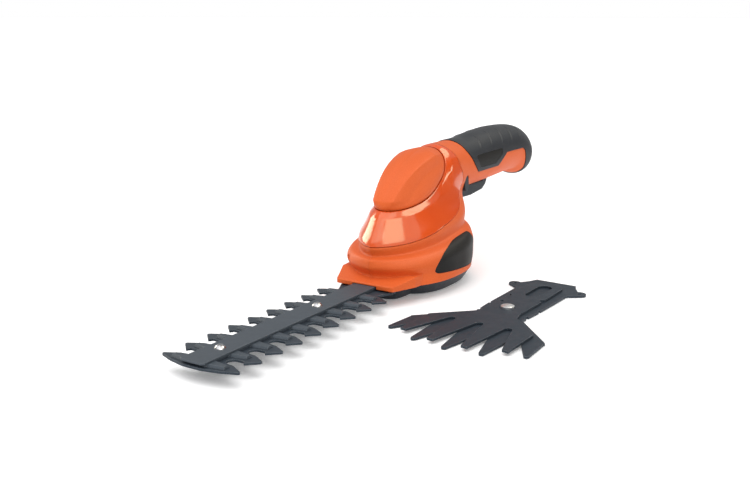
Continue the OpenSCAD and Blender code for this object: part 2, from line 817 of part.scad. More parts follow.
module hedge_rivets() {
    color(steel) for (x = rivet_x) translate([x, 0, 0]) {
        translate([0, 0, blade_z]) cylinder(r = rivet_r, h = spine_top - blade_z + 0.2);
        translate([0, 0, spine_top]) round_head(rivet_head_r, rivet_head_h);
    }
}

// Trigger, its pin and spring, the lock-off button and the switch

module trigger() {
    side = concat([[trigger_front, trigger_top], [trigger_front, trigger_low + 3],
        [trigger_front - 4, trigger_low + 0.4], [trigger_front - 18, trigger_low],
        [trigger_back + 8, trigger_low + 1.8], [trigger_back + 2.5, trigger_low + 5],
        [trigger_back, handle_z + 1]],
        [for (a = [180:-30:0]) [pivot_x, pivot_z] + 3.2 * [cos(a), sin(a)]], [[pivot_x + 5, trigger_top]]);
    color(dark_grey) difference() {
        translate([0, trigger_w / 2, 0]) rotate([90, 0, 0]) linear_extrude(trigger_w) polygon(side);
        along_y(pivot_x, pivot_z, pin_r + running, -trigger_w, trigger_w);
    }
}

module trigger_pin() {
    color(steel) along_y(pivot_x, pivot_z, pin_r, -trigger_w / 2 - 2.8, trigger_w / 2 + 2.8);
}

wire_r = 0.4;
spring_turns = 4;
spring_steps = 10;
spring_low = trigger_top + 0.15;
spring_line = [for (i = [0:spring_turns * spring_steps])
    let (a = 360 * i / spring_steps, rise = spring_top - spring_low - 2 * wire_r)
    [(spring_r - wire_r) * cos(a), (spring_r - wire_r) * sin(a),
     spring_low + wire_r + rise * i / (spring_turns * spring_steps)]];
spring_gap = min([for (i = [0:len(spring_line) - 1], j = [0:len(spring_line) - 1])
    if (j - i > spring_steps / 2) norm(spring_line[j] - spring_line[i])]) - 2 * wire_r;
echo("least gap between turns of the trigger spring", spring_gap);

// Round wire wound along the line
module trigger_spring() {
    color(steel) translate([spring_x, 0, 0]) skin([for (p = spring_line)
        let (out = [p.x, p.y, 0] / norm([p.x, p.y]))
        [for (k = [5:-1:0]) p + wire_r * (cos(60 * k) * out + [0, 0, sin(60 * k)])]]);
}

lock_half = grip_half - 1.4;
lock_cap_in = cell_r + 2;

module lock_button() {
    bar_z = lock_at.y - lock_bar.y / 2 - 0.8;
    color(dark_grey) {
        translate([lock_at.x - lock_bar.x / 2, -lock_half + 1, bar_z])
            cube([lock_bar.x, 2 * lock_half - 2, lock_bar.y]);
        for (s = [-1, 1]) translate([lock_at.x, s > 0 ? lock_half : -lock_cap_in, lock_at.y])
            rotate([90, 0, 0]) linear_extrude(lock_half - lock_cap_in) lock_shape(0);
    }
}

switch_x = -101;
switch_len = 16;
switch_lift = (switch_x + switch_len - pivot_x) * sin(trigger_turn);
switch_size = [switch_len, 6.4, spring_top - trigger_top - switch_lift - 0.5];

module micro_switch() {
    low = spring_top - switch_size.z;
    color(black) {
        translate([switch_x, -switch_size.y / 2, low]) cube(switch_size);
        translate([switch_x + 11, -1.5, low - 0.4]) cube([3, 3, 1]);
    }
}

// Battery and charging

module cell(back) {
    color(gloss_orange) along_x(back, 0, cell_z, cell_r, cell_len - 1.2);
    color(steel) along_x(back + cell_len - 1.4, 0, cell_z, 3.2, 1.4);
}

module front_cell() { cell(cell_joint); }

module rear_cell() { cell(cell_back); }

module cell_tabs() {
    color(steel) {
        translate([cell_joint - 0.25, -3, cell_z - 6]) cube([0.25, 6, 12]);
        translate([cell_back - 0.3, -3, cell_z - 8]) cube([0.3, 6, 14]);
        translate([cell_front - 0.25, -3, cell_z - 8]) cube([0.3, 6, 12]);
    }
}

// The board lies between the two screw bosses in the handle
board_size = [0.82 * (screw_places[3].x - screw_places[4].x - 8), 10, 1.6];
board_x = screw_places[3].x - 4 - board_size.x;

module circuit_board() {
    z = cell_z - cell_r - gap - 0.1 * handle_depth;
    unit = board_size.x / 33;
    color(board_green) translate([board_x, -board_size.y / 2, z]) cube(board_size);
    color(black) translate([board_x, 0, z + board_size.z]) {
        translate([5 * unit, -4, 0]) cube([8 * unit, 5, 1.4]);
        translate([17 * unit, -2, 0]) cube([6 * unit, 6, 1.6]);
        translate([28 * unit, 0, 0]) cylinder(r = 2.4 * unit, h = 1.8);
    }
}

module charge_socket() {
    color(black) difference() {
        union() {
            along_x(socket_mouth, 0, socket_z, socket_tube_r, socket_len + 2);
            translate([socket_mouth + socket_neck, -5, socket_z - 4])
                cube([socket_len + 2.5 - socket_neck, 10, 8.6]);
        }
        along_x(socket_mouth - 1, 0, socket_z, socket_r, socket_len + 1);
    }
}

// Motor and gears

module motor_can() {
    r = motor_d / 2;
    color(steel) translate([motor_at.x, motor_at.y, motor_z]) difference() {
        union() {
            cylinder(r = r, h = motor_len);
            translate([0, 0, -1]) cylinder(r = 4.9, h = 1.2);
        }
        translate([0, 0, -2]) cylinder(r = motor_shaft_r + running, h = motor_len + 4);
        for (a = [45, 225]) rotate(a) translate([0, -8, -1]) cylinder(r = 1.3, h = 5);
    }
}

module motor_end_cap() {
    color(black) translate([motor_at.x, motor_at.y, motor_z + motor_len]) difference() {
        union() {
            cylinder(r = motor_d / 2 - 1.5, h = 2.4);
            cylinder(r = 4.5, h = 4);
            for (s = [-1, 1]) translate([s * 8 - 0.4, -2, 0]) cube([0.8, 4, 5]);
        }
        translate([0, 0, -1]) cylinder(r = motor_shaft_r + running, h = 4);
    }
}

module motor_shaft() {
    color(steel) translate([motor_at.x, motor_at.y, wheel_z - 0.6])
        cylinder(r = motor_shaft_r, h = motor_z + motor_len + 2.6 - wheel_z);
}

// Spur gear outline with relieved flanks
function tooth_outline(teeth, m) =
    let (p = m * teeth / 2, step = 360 / teeth, root = p - 1.2 * m, tip = p + 0.92 * m,
         wide = 0.225 * step, mid = wide * 0.55 + 12 / teeth)
    [for (i = [0:teeth - 1], q = [[root, -wide - 22 / teeth], [p - 0.3 * m, -wide - 3 / teeth],
            [p + 0.3 * m, -mid], [tip, -wide * 0.36], [tip, wide * 0.36], [p + 0.3 * m, mid],
            [p - 0.3 * m, wide + 3 / teeth], [root, wide + 22 / teeth]])
        q[0] * [cos(i * step + q[1]), sin(i * step + q[1])]];

module spur(teeth, h, bore) {
    linear_extrude(h) difference() {
        polygon(tooth_outline(teeth, gear_module));
        circle(bore);
    }
}

// Turned so that a gap faces along an angle
function gap_to(angle, teeth) = angle + 180 / teeth;

module motor_pinion() {
    bearing = motor_bearing - 180;
    color(brass) translate([motor_at.x, motor_at.y, wheel_z - 0.3]) rotate(gap_to(bearing, pinion_teeth))
        spur(pinion_teeth, wheel_t + 0.8, motor_shaft_r + 0.01);
}

module idler_gear() {
    color(nylon) translate([idler_at.x, idler_at.y, 0]) {
        translate([0, 0, gear_z]) rotate(gap_to(idler_bearing + 180, idler_pinion_teeth))
            spur(idler_pinion_teeth, gear_t + 1.3, idler_shaft_r + running);
        translate([0, 0, wheel_z]) rotate(motor_bearing)
            spur(idler_wheel_teeth, wheel_t, idler_shaft_r + running);
    }
}

module idler_shaft() {
    color(steel) translate([idler_at.x, idler_at.y, plate_z])
        cylinder(r = idler_shaft_r, h = motor_z - plate_z);
}

module crank_gear() {
    color(nylon) translate([0, 0, gear_z]) {
        rotate(idler_bearing) spur(crank_teeth, gear_t, crank_shaft_r + 0.01);
        linear_extrude(gear_t + 2) difference() {
            circle(crank_shaft_r + 2.2);
            circle(crank_shaft_r + 0.01);
        }
    }
}

module crank_shaft() {
    color(steel) translate([0, 0, plate_z - 1.2]) cylinder(r = crank_shaft_r, h = motor_z - plate_z + 0.4);
}

disc_z = cutter_top + 0.5;

module crank_disc() {
    color(steel) {
        difference() {
            translate([0, 0, disc_z]) cylinder(r = crank_disc_r, h = plate_z - disc_z - 0.2);
            translate([0, 0, plate_z - 1.2]) cylinder(r = crank_shaft_r + 0.01, h = 5);
        }
        translate([0, crank_throw, cutter_z + 0.2]) cylinder(r = crank_pin_r, h = disc_z - cutter_z);
    }
}

module crank_bushes() {
    color(brass) for (z = [plate_z, motor_plate_z]) translate([0, 0, z]) difference() {
        cylinder(r = bush_r, h = plate_t);
        translate([0, 0, -1]) cylinder(r = crank_shaft_r + running, h = plate_t + 2);
    }
}

// Lower gear plate, cut to the inside of the housing, with posts for the motor plate
module gear_plate() {
    levels = [(plate_z - rim_z) / (head_z(8) - rim_z), (plate_z + plate_t - rim_z) / (head_z(6) - rim_z)];
    color(dark_grey) difference() {
        union() {
            translate([0, 0, plate_z]) linear_extrude(plate_t) intersection_for (v = levels)
                polygon([for (p = ring(station(v), 48, wall + 1)) [p.x, p.y]]);
            for (p = posts) translate([p.x, p.y, plate_z]) cylinder(r = post_r, h = motor_plate_z - plate_z);
        }
        cylinder(r = bush_r + 0.02, h = 60);
        translate([idler_at.x, idler_at.y, 0]) cylinder(r = idler_shaft_r + 0.02, h = 60);
        for (p = posts) translate([p.x, p.y, plate_z + 4]) cylinder(r = screw_r, h = 60);
        translate([nose_x - 16, -blade_slot_w / 2, 0]) cube([60, blade_slot_w, plate_z + 0.01]);
    }
}

module motor_plate() {
    centres = concat([[0, 0], idler_at, motor_at], posts);
    color(dark_grey) translate([0, 0, motor_plate_z]) linear_extrude(plate_t) difference() {
        hull() for (c = centres) translate(c) circle(6.5, $fn = 32);
        circle(bush_r + 0.02);
        translate(idler_at) circle(idler_shaft_r + 0.02);
        translate(motor_at) {
            circle(5);
            for (a = [45, 225]) rotate(a) translate([0, -8]) circle(1.5);
        }
        for (p = posts) translate(p) circle(screw_r + 0.2);
    }
}

module motor_screws() {
    color(steel) translate([motor_at.x, motor_at.y, motor_plate_z]) for (a = [45, 225])
        rotate(a) translate([0, -8, -1.2]) {
            cylinder(r = 2.2, h = 1.2);
            cylinder(r = 1.25, h = plate_t + 4.5);
        }
}

module plate_screws() {
    color(steel) for (p = posts) translate([p.x, p.y, motor_z]) {
        cylinder(r = screw_head_r, h = screw_head_t);
        translate([0, 0, -8]) cylinder(r = screw_r - 0.02, h = 8.5);
    }
}

// Grass blade, lying loose beside the tool

grass_turn = -2;
grass_t = 1.6;
grass_gap = 0.15;
fan_teeth = 5;
bolt_r = 2.5;
bolt_head_r = 4.5;
bolt_head_h = 2.2;
root_pitch = 0.86 * fan_pitch;
comb_root_x = 0.56 * fan_r;
cutter_root_x = 0.46 * fan_r;
cutter_fan_r = fan_r - 3.5;
neck = [17, grass_tail_w / 2 + 1.5];
ear_x = -61.5;
ear_r = 4.6;
ear_out = 5.5;

module grass_frame() {
    translate([grass_x, grass_y, 0]) rotate(grass_turn) children();
}

function fan_place(r, y) = [sqrt(r * r - y * y), y];

function arc(centre, r, from, to, steps) =
    [for (i = [0:steps]) let (a = from + (to - from) * i / steps) centre + r * [cos(a), sin(a)]];

// Front edge of the comb: rounded tips, long straight flanks and round roots
function fan_edge() =
    [for (i = [0:fan_teeth - 1])
        let (tip_r = 1.8, tip = fan_place(fan_r, fan_pitch * (i - (fan_teeth - 1) / 2)),
             root = [comb_root_x, root_pitch * (i - fan_teeth / 2 + 1)])
        each concat(arc(tip - [tip_r, 0], tip_r, -80, 80, 4),
            i == fan_teeth - 1 ? [] : arc(root, 2.4, 270, 90, 6))];

// One side of the comb from the fan's corner to the rear edge: edge notches, then a hanging ear
function comb_side() =
    let (half = grass_tail_w / 2)
    concat(arc([0.53 * fan_r, 0.53 * fan_r], 2, 60, 150, 3),
        [neck, [14, half - 1.8], [8, half - 1.6], [8, half - 3], [5, half - 3], [5, half - 1.5]],
        arc([-10, half - 0.6], 1.6, 0, -180, 4), [[-52, half]],
        arc([ear_x, half + ear_out], ear_r, 50, 215, 7), [[-71, half - 1], [-78, half - 4]]);

module grass_comb() {
    side = comb_side();
    color(blade_grey) grass_frame() linear_extrude(grass_t) difference() {
        polygon(concat(fan_edge(), side, turned_over(side)));
        circle(bolt_r + 0.02);
        for (s = [-1, 1]) translate([ear_x, s * (grass_tail_w / 2 + ear_out)]) circle(1.3);
    }
}

// Upper blade: teeth that stand in the comb's gaps, a waist, and a pad with the drive slot
function cutter_edge() =
    [for (i = [0:fan_teeth - 2])
        let (tip = fan_place(cutter_fan_r, fan_pitch * (i - fan_teeth / 2 + 1)),
             root = [cutter_root_x, root_pitch * (i - fan_teeth / 2 + 1.5)])
        each concat([tip - [0.6, 2.2], tip + [0, 2.2]],
            i == fan_teeth - 2 ? [] : arc(root, 2.6, 270, 90, 6))];

function cutter_side() =
    let (half = grass_tail_w / 2 - 6.5)
    concat([[cutter_root_x, root_pitch * fan_teeth / 2 - 13], [16, half + 2], [6, half]],
        arc([-27, half + 0.5], 2.6, 0, -180, 5), arc([-58, half - 9], 9, 90, 180, 6));

module grass_cutter() {
    side = cutter_side();
    color(blade_grey) translate([0, 0, grass_t + grass_gap]) grass_frame()
        linear_extrude(grass_t) difference() {
            polygon(concat(cutter_edge(), side, turned_over(side)));
            circle(bolt_r + running);
            translate([-46, 1]) stadium(30, 5);
            translate([-12, 9 - grass_tail_w / 2]) circle(1.4);
        }
}

module grass_pivot_bolt() {
    head = 2 * (grass_t + grass_gap);
    color(steel) grass_frame() {
        cylinder(r = bolt_r, h = head + 0.2);
        translate([0, 0, head]) round_head(bolt_head_r, bolt_head_h);
    }
}

left_housing();
right_housing();
front_cover();
top_dome();
left_grip();
right_grip();
left_side_plate();
right_side_plate();
left_badge_panel();
right_badge_panel();
base_cover();
trigger();
trigger_pin();
trigger_spring();
lock_button();
micro_switch();
front_cell();
rear_cell();
cell_tabs();
circuit_board();
charge_socket();
motor_can();
motor_end_cap();
motor_shaft();
motor_pinion();
motor_plate();
motor_screws();
gear_plate();
plate_screws();
idler_gear();
idler_shaft();
crank_gear();
crank_shaft();
crank_disc();
crank_bushes();
housing_screws();
hedge_comb();
hedge_cutter();
hedge_spine();
hedge_rivets();
grass_comb();
grass_cutter();
grass_pivot_bolt();
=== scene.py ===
"""Looks of the cordless garden shears: fine moulded surfaces, finishes, studio light and camera."""

import math

import bmesh
import bpy
import numpy as np
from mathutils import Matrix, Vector


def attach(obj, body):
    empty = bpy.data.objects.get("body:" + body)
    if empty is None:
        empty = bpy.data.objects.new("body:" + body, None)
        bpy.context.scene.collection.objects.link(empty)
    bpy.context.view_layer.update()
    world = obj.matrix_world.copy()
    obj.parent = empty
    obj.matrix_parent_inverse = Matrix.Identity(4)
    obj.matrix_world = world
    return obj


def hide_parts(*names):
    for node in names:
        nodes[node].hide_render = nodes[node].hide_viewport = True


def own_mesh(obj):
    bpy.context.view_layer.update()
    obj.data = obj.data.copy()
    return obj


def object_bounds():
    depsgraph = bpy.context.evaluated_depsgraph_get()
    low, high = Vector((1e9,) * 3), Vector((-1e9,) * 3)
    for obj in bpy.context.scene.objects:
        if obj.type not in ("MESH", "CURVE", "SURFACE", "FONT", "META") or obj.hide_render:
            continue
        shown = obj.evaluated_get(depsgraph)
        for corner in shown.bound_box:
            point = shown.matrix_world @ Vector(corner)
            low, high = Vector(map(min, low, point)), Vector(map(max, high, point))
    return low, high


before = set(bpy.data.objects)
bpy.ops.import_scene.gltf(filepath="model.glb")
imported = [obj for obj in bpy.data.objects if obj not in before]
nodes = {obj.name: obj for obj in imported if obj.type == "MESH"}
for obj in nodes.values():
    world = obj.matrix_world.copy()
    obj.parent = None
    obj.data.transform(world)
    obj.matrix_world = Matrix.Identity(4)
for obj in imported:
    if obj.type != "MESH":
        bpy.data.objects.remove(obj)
solid_low, solid_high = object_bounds()

# Sizes shared with the solids, in millimetres

MM = 0.001
BODY_W = 80.0
NOSE_X = 46.5
TAIL_X = 61.0
COVER_W = 59.0
COVER_Z = 37.3
HEAD_TOP = 97.5
WALL = 2.4
SKIN_T = 1.8
RIM_Z = 11.0
HANDLE_REACH = 195.5
HANDLE_W = 35.2
HANDLE_Z = 60.0
HANDLE_TOP = 101.0
GRIP_T = 1.8
GRIP_PROUD = 0.6
GAP = 0.3
SEAM = 0.06
ELBOW_X = 90.0
TRIGGER_W = 18.0
TRIGGER_SLOT_X = (-113.5, -65.0)
TRIGGER_SLOT_TOP = HANDLE_Z + 9.5
SPRING_X = -75.0
SPRING_R = 2.6
WIRE_R = 0.4
SPRING_TURNS = 4
SPRING_LOW = HANDLE_Z + 2.15
SPRING_TOP = HANDLE_Z + 9.7
LOCK_X = -62.0
LOCK_Z = HANDLE_Z + 5.6
LOCK_SIZE = (6.0, 12.0)
LOCK_GAP = 0.5
SOCKET_Z = HANDLE_Z + 12.5
SOCKET_R = 4.9
SCREW_HOLE_R = 2.9
BLADE_SLOT_HALF = 9.6
BLADE_SLOT_TOP = 12.9
LIP_T = 3.2
LIP_RISE = 4.0
RIVET_SPOTS = ((199.0, 0.0), (109.0, 0.0))
BOLT_SPOT = (22.5, 90.5)
SIDES = ((1, "left"), (-1, "right"))

# Distance from the middle plane that is outside the housing everywhere
OUTSIDE = 60.0

# Slight overlap that keeps a cut from lying in the face that it meets
OVERLAP = 0.02


def handle_x(t):
    """Place along the handle, from 0 at the elbow to 1 at its rear end."""
    return -ELBOW_X - t * (HANDLE_REACH - ELBOW_X)


# Sections of the housing. Columns: rear or lower x, z; front or upper x, z; half width; place of the
# greatest width; front and rear powers; nose crease.


def section_table():
    half_w, cover_half, grip_half = BODY_W / 2, COVER_W / 2, HANDLE_W / 2
    hx, hz, top = handle_x, HANDLE_Z, HANDLE_TOP
    return np.array([
        [3 - TAIL_X, RIM_Z, NOSE_X - 0.5, RIM_Z, half_w - 0.4, 0.48, 0.87, 0.9, 3],
        [1.5 - TAIL_X, RIM_Z + 8, NOSE_X - 4, RIM_Z + 6, half_w, 0.48, 0.87, 0.9, 3.2],
        [-TAIL_X, COVER_Z - 7.5, NOSE_X, COVER_Z - 13.8, half_w, 0.48, 0.88, 0.9, 3.5],
        [-TAIL_X, COVER_Z + 1, NOSE_X - 1, COVER_Z - 8.8, half_w - 3.5, 0.49, 0.9, 0.87, 3.5],
        [1.5 - TAIL_X, COVER_Z + 5.5, NOSE_X - 4.4, COVER_Z - 6.2, cover_half, 0.51, 0.95, 0.8, 3.5],
        [2 - TAIL_X, COVER_Z + 11, NOSE_X - 1.5, COVER_Z, cover_half, 0.53, 1, 0.72, 3.5],
        [0.5 - TAIL_X, hz - 6.5, NOSE_X - 7, COVER_Z + 10.2, cover_half - 3.3, 0.54, 1, 0.66, 3],
        [-1.5 - TAIL_X, hz - 3, NOSE_X - 13, COVER_Z + 21.2, cover_half - 7.3, 0.54, 0.95, 0.64, 2],
        [-4 - TAIL_X, hz - 1, NOSE_X - 20.5, HEAD_TOP - 27.5, cover_half - 9.8, 0.54, 0.9, 0.64, 1],
        [-6 - TAIL_X, hz, NOSE_X - 30.5, HEAD_TOP - 16.5, grip_half + 0.9, 0.54, 0.9, 0.66, 0],
        [-8.5 - TAIL_X, hz + 0.5, NOSE_X - 45.5, HEAD_TOP - 7.5, grip_half + 0.4, 0.54, 0.9, 0.68, 0],
        [-11.5 - TAIL_X, hz + 0.5, NOSE_X - 63.5, HEAD_TOP - 2, grip_half, 0.53, 0.9, 0.7, 0],
        [-16 - TAIL_X, hz + 0.3, NOSE_X - 84.5, HEAD_TOP, grip_half - 0.3, 0.52, 0.92, 0.75, 0],
        [8 - ELBOW_X, hz, 33 - ELBOW_X, HEAD_TOP, grip_half - 0.5, 0.5, 0.95, 0.8, 0],
        [-ELBOW_X, hz, 15 - ELBOW_X, top - 3.5, grip_half - 0.5, 0.5, 0.95, 0.82, 0],
        [hx(0.12), hz, hx(0.07), top - 1.5, grip_half - 0.3, 0.5, 0.95, 0.85, 0],
        [hx(0.36), hz + 1, hx(0.34), top, grip_half, 0.5, 0.95, 0.85, 0],
        [hx(0.69), hz + 2.3, hx(0.6), top - 0.8, grip_half, 0.5, 0.95, 0.9, 0],
        [hx(0.77), hz - 1.5, hx(0.77), top - 3.2, grip_half - 0.2, 0.5, 0.95, 0.9, 0],
        [hx(0.835), hz - 3.4, hx(0.9), top - 9.5, grip_half - 1, 0.5, 0.95, 0.9, 0],
        [hx(0.92), hz + 1.5, hx(0.975), top - 19, grip_half - 5, 0.5, 0.95, 0.95, 0],
        [hx(0.98), hz + 8.5, hx(1), top - 28, grip_half - 13, 0.5, 1, 1, 0],
    ])


TABLE = section_table()
LAST = len(TABLE) - 1
PADDED = np.vstack([2 * TABLE[0] - TABLE[1], TABLE, 2 * TABLE[-1] - TABLE[-2]])

# Stations, counted in rows of the table: the cover's lower edge, the grip's run and the head's flank
COVER_EDGE = 4.9
GRIP_START = 12
GRIP_END = LAST - 0.12
GRIP_CORE_END = LAST - 0.3
PLATE_END = 18
FLANK_END = 6


def tame(a, b):
    """Slope between two steps that never overshoots."""
    total = np.where(a * b > 0, a + b, 1.0)
    return np.where(a * b > 0, 2 * a * b / total, 0.0)


def sharp_station(v):
    """Section at any place, on a cubic curve through the rows of the table."""
    i = np.clip(np.floor(v).astype(int), 0, LAST - 1)
    t = (v - i)[..., None]
    a, b, c, d = (PADDED[i + k] for k in range(4))
    m, n = tame(b - a, c - b), tame(c - b, d - c)
    u, w = t * t, t * t * t
    return (2 * w - 3 * u + 1) * b + (w - 2 * u + t) * m + (3 * u - 2 * w) * c + (w - u) * n


def station(v):
    """Section at any place, averaged over its neighbourhood so that reflections flow."""
    v = np.asarray(v, float)
    spread = np.where(v < COVER_EDGE, 0.1, 0.22)
    weights = (1, 4, 6, 4, 1)
    return sum(w * sharp_station(v + (k - 2) * spread) for k, w in enumerate(weights)) / sum(weights)


def on_section(s, angle, inset=0.0):
    """Points of sections at angles in degrees from the front, moved in by an inset."""
    dx, dz = s[..., 2] - s[..., 0], s[..., 3] - s[..., 1]
    reach = np.hypot(dx, dz)
    c, n = np.cos(np.radians(angle)), np.sin(np.radians(angle))
    front = c >= 0
    power = np.where(front, s[..., 6], s[..., 7])
    widest = s[..., 5] * reach
    side = np.abs(n) ** power
    ahead = widest + (reach - widest) * np.abs(c) ** power + s[..., 8] * (1 - side) ** 2
    behind = widest - widest * np.abs(c) ** power
    u = inset + np.where(front, ahead, behind) * (reach - 2 * inset) / reach
    y = (s[..., 4] - inset) * np.sign(n) * side
    return np.stack([s[..., 0] + u * dx / reach, y, s[..., 1] + u * dz / reach], axis=-1)


# Borders on the housing's surface. Columns: front, middle and rear station; angle of the widest place;
# front and rear powers.

COVER_BORDER = np.array([5, 8, 12, 119, 0.6, 0.6])
COVER_SEAT = COVER_BORDER + [-0.035, 0, 0.025, 1, 0, 0]
COVER_WINDOW = COVER_BORDER + [0.3, 0, -0.22, -9, 0, 0]
BEVEL_BORDER = np.array([6.7, 9.3, 11.92, 96, 0.76, 0.95])
BEVEL_FOOT = BEVEL_BORDER + [0.36, 0, -0.26, -11, 0, 0]
DOME_BORDER = BEVEL_FOOT + [-0.05, 0, 0.06, 1.8, 0, 0]
BEVEL_DROP = 1.7
WALL_DROP = 0.7
DOME_DROP = BEVEL_DROP + WALL_DROP + SKIN_T + GAP


def border_point(border, a, scale=1.0):
    """Station and angle of a border's point at angle a, drawn in towards its middle by a scale."""
    front, middle, rear, widest, front_power, rear_power = border
    c, n = np.cos(np.radians(a)), np.sin(np.radians(a))
    power = np.where(c >= 0, front_power, rear_power)
    k = np.abs(c) ** power
    v = np.where(c >= 0, middle - (middle - front) * k, middle + (rear - middle) * k)
    return middle + scale * (v - middle), scale * widest * np.sign(n) * np.abs(n) ** power


def border_ring(border, a, scale, inset):
    """Points along a border at angles a, drawn in by a scale and sunk by an inset."""
    v, angle = border_point(border, a, scale)
    return on_section(station(v), angle, inset)


def even_angles(border, count):
    """Angles whose points lie evenly along a border."""
    a = np.linspace(0, 360, 6001)
    points = border_ring(border, a, 1.0, 0.0)
    run = np.concatenate([[0], np.cumsum(np.linalg.norm(np.diff(points, axis=0), axis=1))])
    return np.interp(np.arange(count) / count * run[-1], run, a)


# Mesh helpers


def face_outwards(mesh):
    work = bmesh.new()
    work.from_mesh(mesh)
    if work.calc_volume(signed=True) < 0:
        mesh.flip_normals()
    work.free()


def new_object(name, points, faces):
    """Mesh object from points in millimetres."""
    mesh = bpy.data.meshes.new(name)
    mesh.from_pydata((np.asarray(points) * MM).tolist(), [], faces)
    face_outwards(mesh)
    obj = bpy.data.objects.new(name, mesh)
    bpy.context.scene.collection.objects.link(obj)
    return obj


def skin(name, rings, joined=False):
    """Closed surface over a run of rings, capped at both ends or joined into a loop."""
    rings = np.asarray(rings)
    m, n = rings.shape[:2]
    last_row = m if joined else m - 1
    i, j = np.meshgrid(np.arange(last_row), np.arange(n), indexing="ij")
    a, b = i * n + j, i * n + (j + 1) % n
    up = ((i + 1) % m - i) * n
    faces = np.stack([a, a + up, b + up, b], axis=-1).reshape(-1, 4).tolist()
    if not joined:
        faces += [list(range(n)), list(range(m * n - 1, m * n - n - 1, -1))]
    return new_object(name, rings.reshape(-1, 3), faces)


def raised(outline, level, axis):
    """Points of a flat outline at a level: in the side view (axis 1) or the plan (axis 2)."""
    flat = np.asarray(outline, float)
    return np.insert(flat, axis, level, axis=1)


def prism(name, outline, low, high, axis):
    """Solid over an outline, from a low to a high level."""
    return skin(name, [raised(outline, level, axis) for level in (low, high)])


def box(name, low, high):
    outline = [(low[0], low[1]), (high[0], low[1]), (high[0], high[1]), (low[0], high[1])]
    return prism(name, outline, low[2], high[2], 2)


def turned(name, profile, spot):
    """Piece turned about an upright axis over a spot, from a profile of radii and heights."""
    return skin(name, [raised(oval(spot, (r, r), 72), z, 2) for r, z in profile])


def rounded(points, radius, steps=8):
    """Outline with each corner turned into a curve."""
    points = np.asarray(points, float)
    result = []
    for i, corner in enumerate(points):
        sides = [points[i - 1] - corner, points[(i + 1) % len(points)] - corner]
        lengths = [np.linalg.norm(side) for side in sides]
        cosine = np.dot(sides[0], sides[1]) / (lengths[0] * lengths[1])
        half_angle = math.acos(max(-1.0, min(1.0, cosine))) / 2
        cut = min(radius / max(math.tan(half_angle), 0.05), 0.45 * min(lengths))
        start, end = (corner + side / length * cut for side, length in zip(sides, lengths))
        for t in np.linspace(0, 1, steps):
            result.append((1 - t) ** 2 * start + 2 * t * (1 - t) * corner + t * t * end)
    return np.array(result)


def grown(points, distance):
    """Outline moved outwards by a small distance."""
    points = np.asarray(points, float)
    area = np.sum(points[:, 0] * np.roll(points[:, 1], -1) - np.roll(points[:, 0], -1) * points[:, 1])
    along = np.roll(points, -1, axis=0) - np.roll(points, 1, axis=0)
    along /= np.linalg.norm(along, axis=1)[:, None]
    outwards = np.stack([along[:, 1], -along[:, 0]], axis=-1) * np.sign(area)
    return points + distance * outwards


def bezier(start, first, second, end, count=14):
    """Points of a cubic curve between two ends, drawn by two handles."""
    t = np.linspace(0, 1, count)[:, None]
    a, b, c, d = (np.asarray(point, float) for point in (start, first, second, end))
    return (1 - t) ** 3 * a + 3 * t * (1 - t) ** 2 * b + 3 * t * t * (1 - t) * c + t ** 3 * d


def oval(centre, half, count=64):
    angles = np.linspace(0, 2 * math.pi, count, endpoint=False)
    return np.stack([centre[0] + half[0] * np.cos(angles), centre[1] + half[1] * np.sin(angles)], axis=-1)


def applied(obj):
    """Object whose mesh has its modifiers worked in."""
    graph = bpy.context.evaluated_depsgraph_get()
    mesh = bpy.data.meshes.new_from_object(obj.evaluated_get(graph))
    obj.modifiers.clear()
    obj.data = mesh
    return obj


def combine(obj, operation, *tools):
    """Works other solids into an object, and removes them."""
    for tool in tools:
        cut = obj.modifiers.new("cut", "BOOLEAN")
        cut.solver = "MANIFOLD"
        cut.operation = operation
        cut.object = tool
    applied(obj)
    for tool in tools:
        bpy.data.objects.remove(tool)
    return obj


def copied(obj, name):
    twin = bpy.data.objects.new(name, obj.data.copy())
    bpy.context.scene.collection.objects.link(twin)
    return twin


def smooth(obj, angle=32):
    obj.data.polygons.foreach_set("use_smooth", [True] * len(obj.data.polygons))
    obj.data.set_sharp_from_angle(angle=math.radians(angle))


def beyond(side, near, far=OUTSIDE):
    """Low and high y of what lies past a distance from the middle plane, on one side."""
    return sorted((side * near, side * far))


def half_space(side):
    low, high = beyond(side, SEAM, 300)
    return box("half", (-400, low, -50), (400, high, 200))


def place(obj, body, slot, *replaced):
    """Puts a finished piece on its body, in the place of its plain solids."""
    smooth(obj)
    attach(obj, body)
    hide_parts(*replaced)
    dress(obj, slot)


def place_halves(whole, prefix, piece, slot):
    """Parts a piece along the seam and places both halves."""
    for side, word in SIDES:
        node = word + "_" + piece
        half = copied(whole, prefix + node)
        combine(half, "INTERSECT", half_space(side))
        place(half, "housing", slot, node)
    bpy.data.objects.remove(whole)


# Outlines in the side view

GRIP_OUTLINE = [
    (-60, HANDLE_TOP + 20), (-60, HANDLE_TOP - 3), (-64, HANDLE_TOP - 11), (-73, HANDLE_TOP - 22),
    (-80, HANDLE_Z + 12.3), (-115, HANDLE_Z + 12.3), (-129, HANDLE_TOP - 19.3),
    (handle_x(0.68), HANDLE_TOP - 19.5), (handle_x(0.72), HANDLE_TOP - 22),
    (handle_x(0.8), HANDLE_Z + 3), (handle_x(0.84), HANDLE_Z - 20),
    (-HANDLE_REACH - 20, HANDLE_Z - 20), (-HANDLE_REACH - 20, HANDLE_TOP + 20)]
PLATE_OUTLINE = [
    (-75.5, HANDLE_Z + 25.2), (handle_x(0.295), HANDLE_Z + 26), (handle_x(0.285), HANDLE_Z + 21),
    (handle_x(0.185), HANDLE_Z + 15.4), (-82.5, HANDLE_Z + 15.4)]
GRIP_CORNER = 2.5
PLATE_CORNER = 1.6
BADGE_CORNER = 3
PLATE_SINK = 0.9
PLATE_SKIN = 0.7
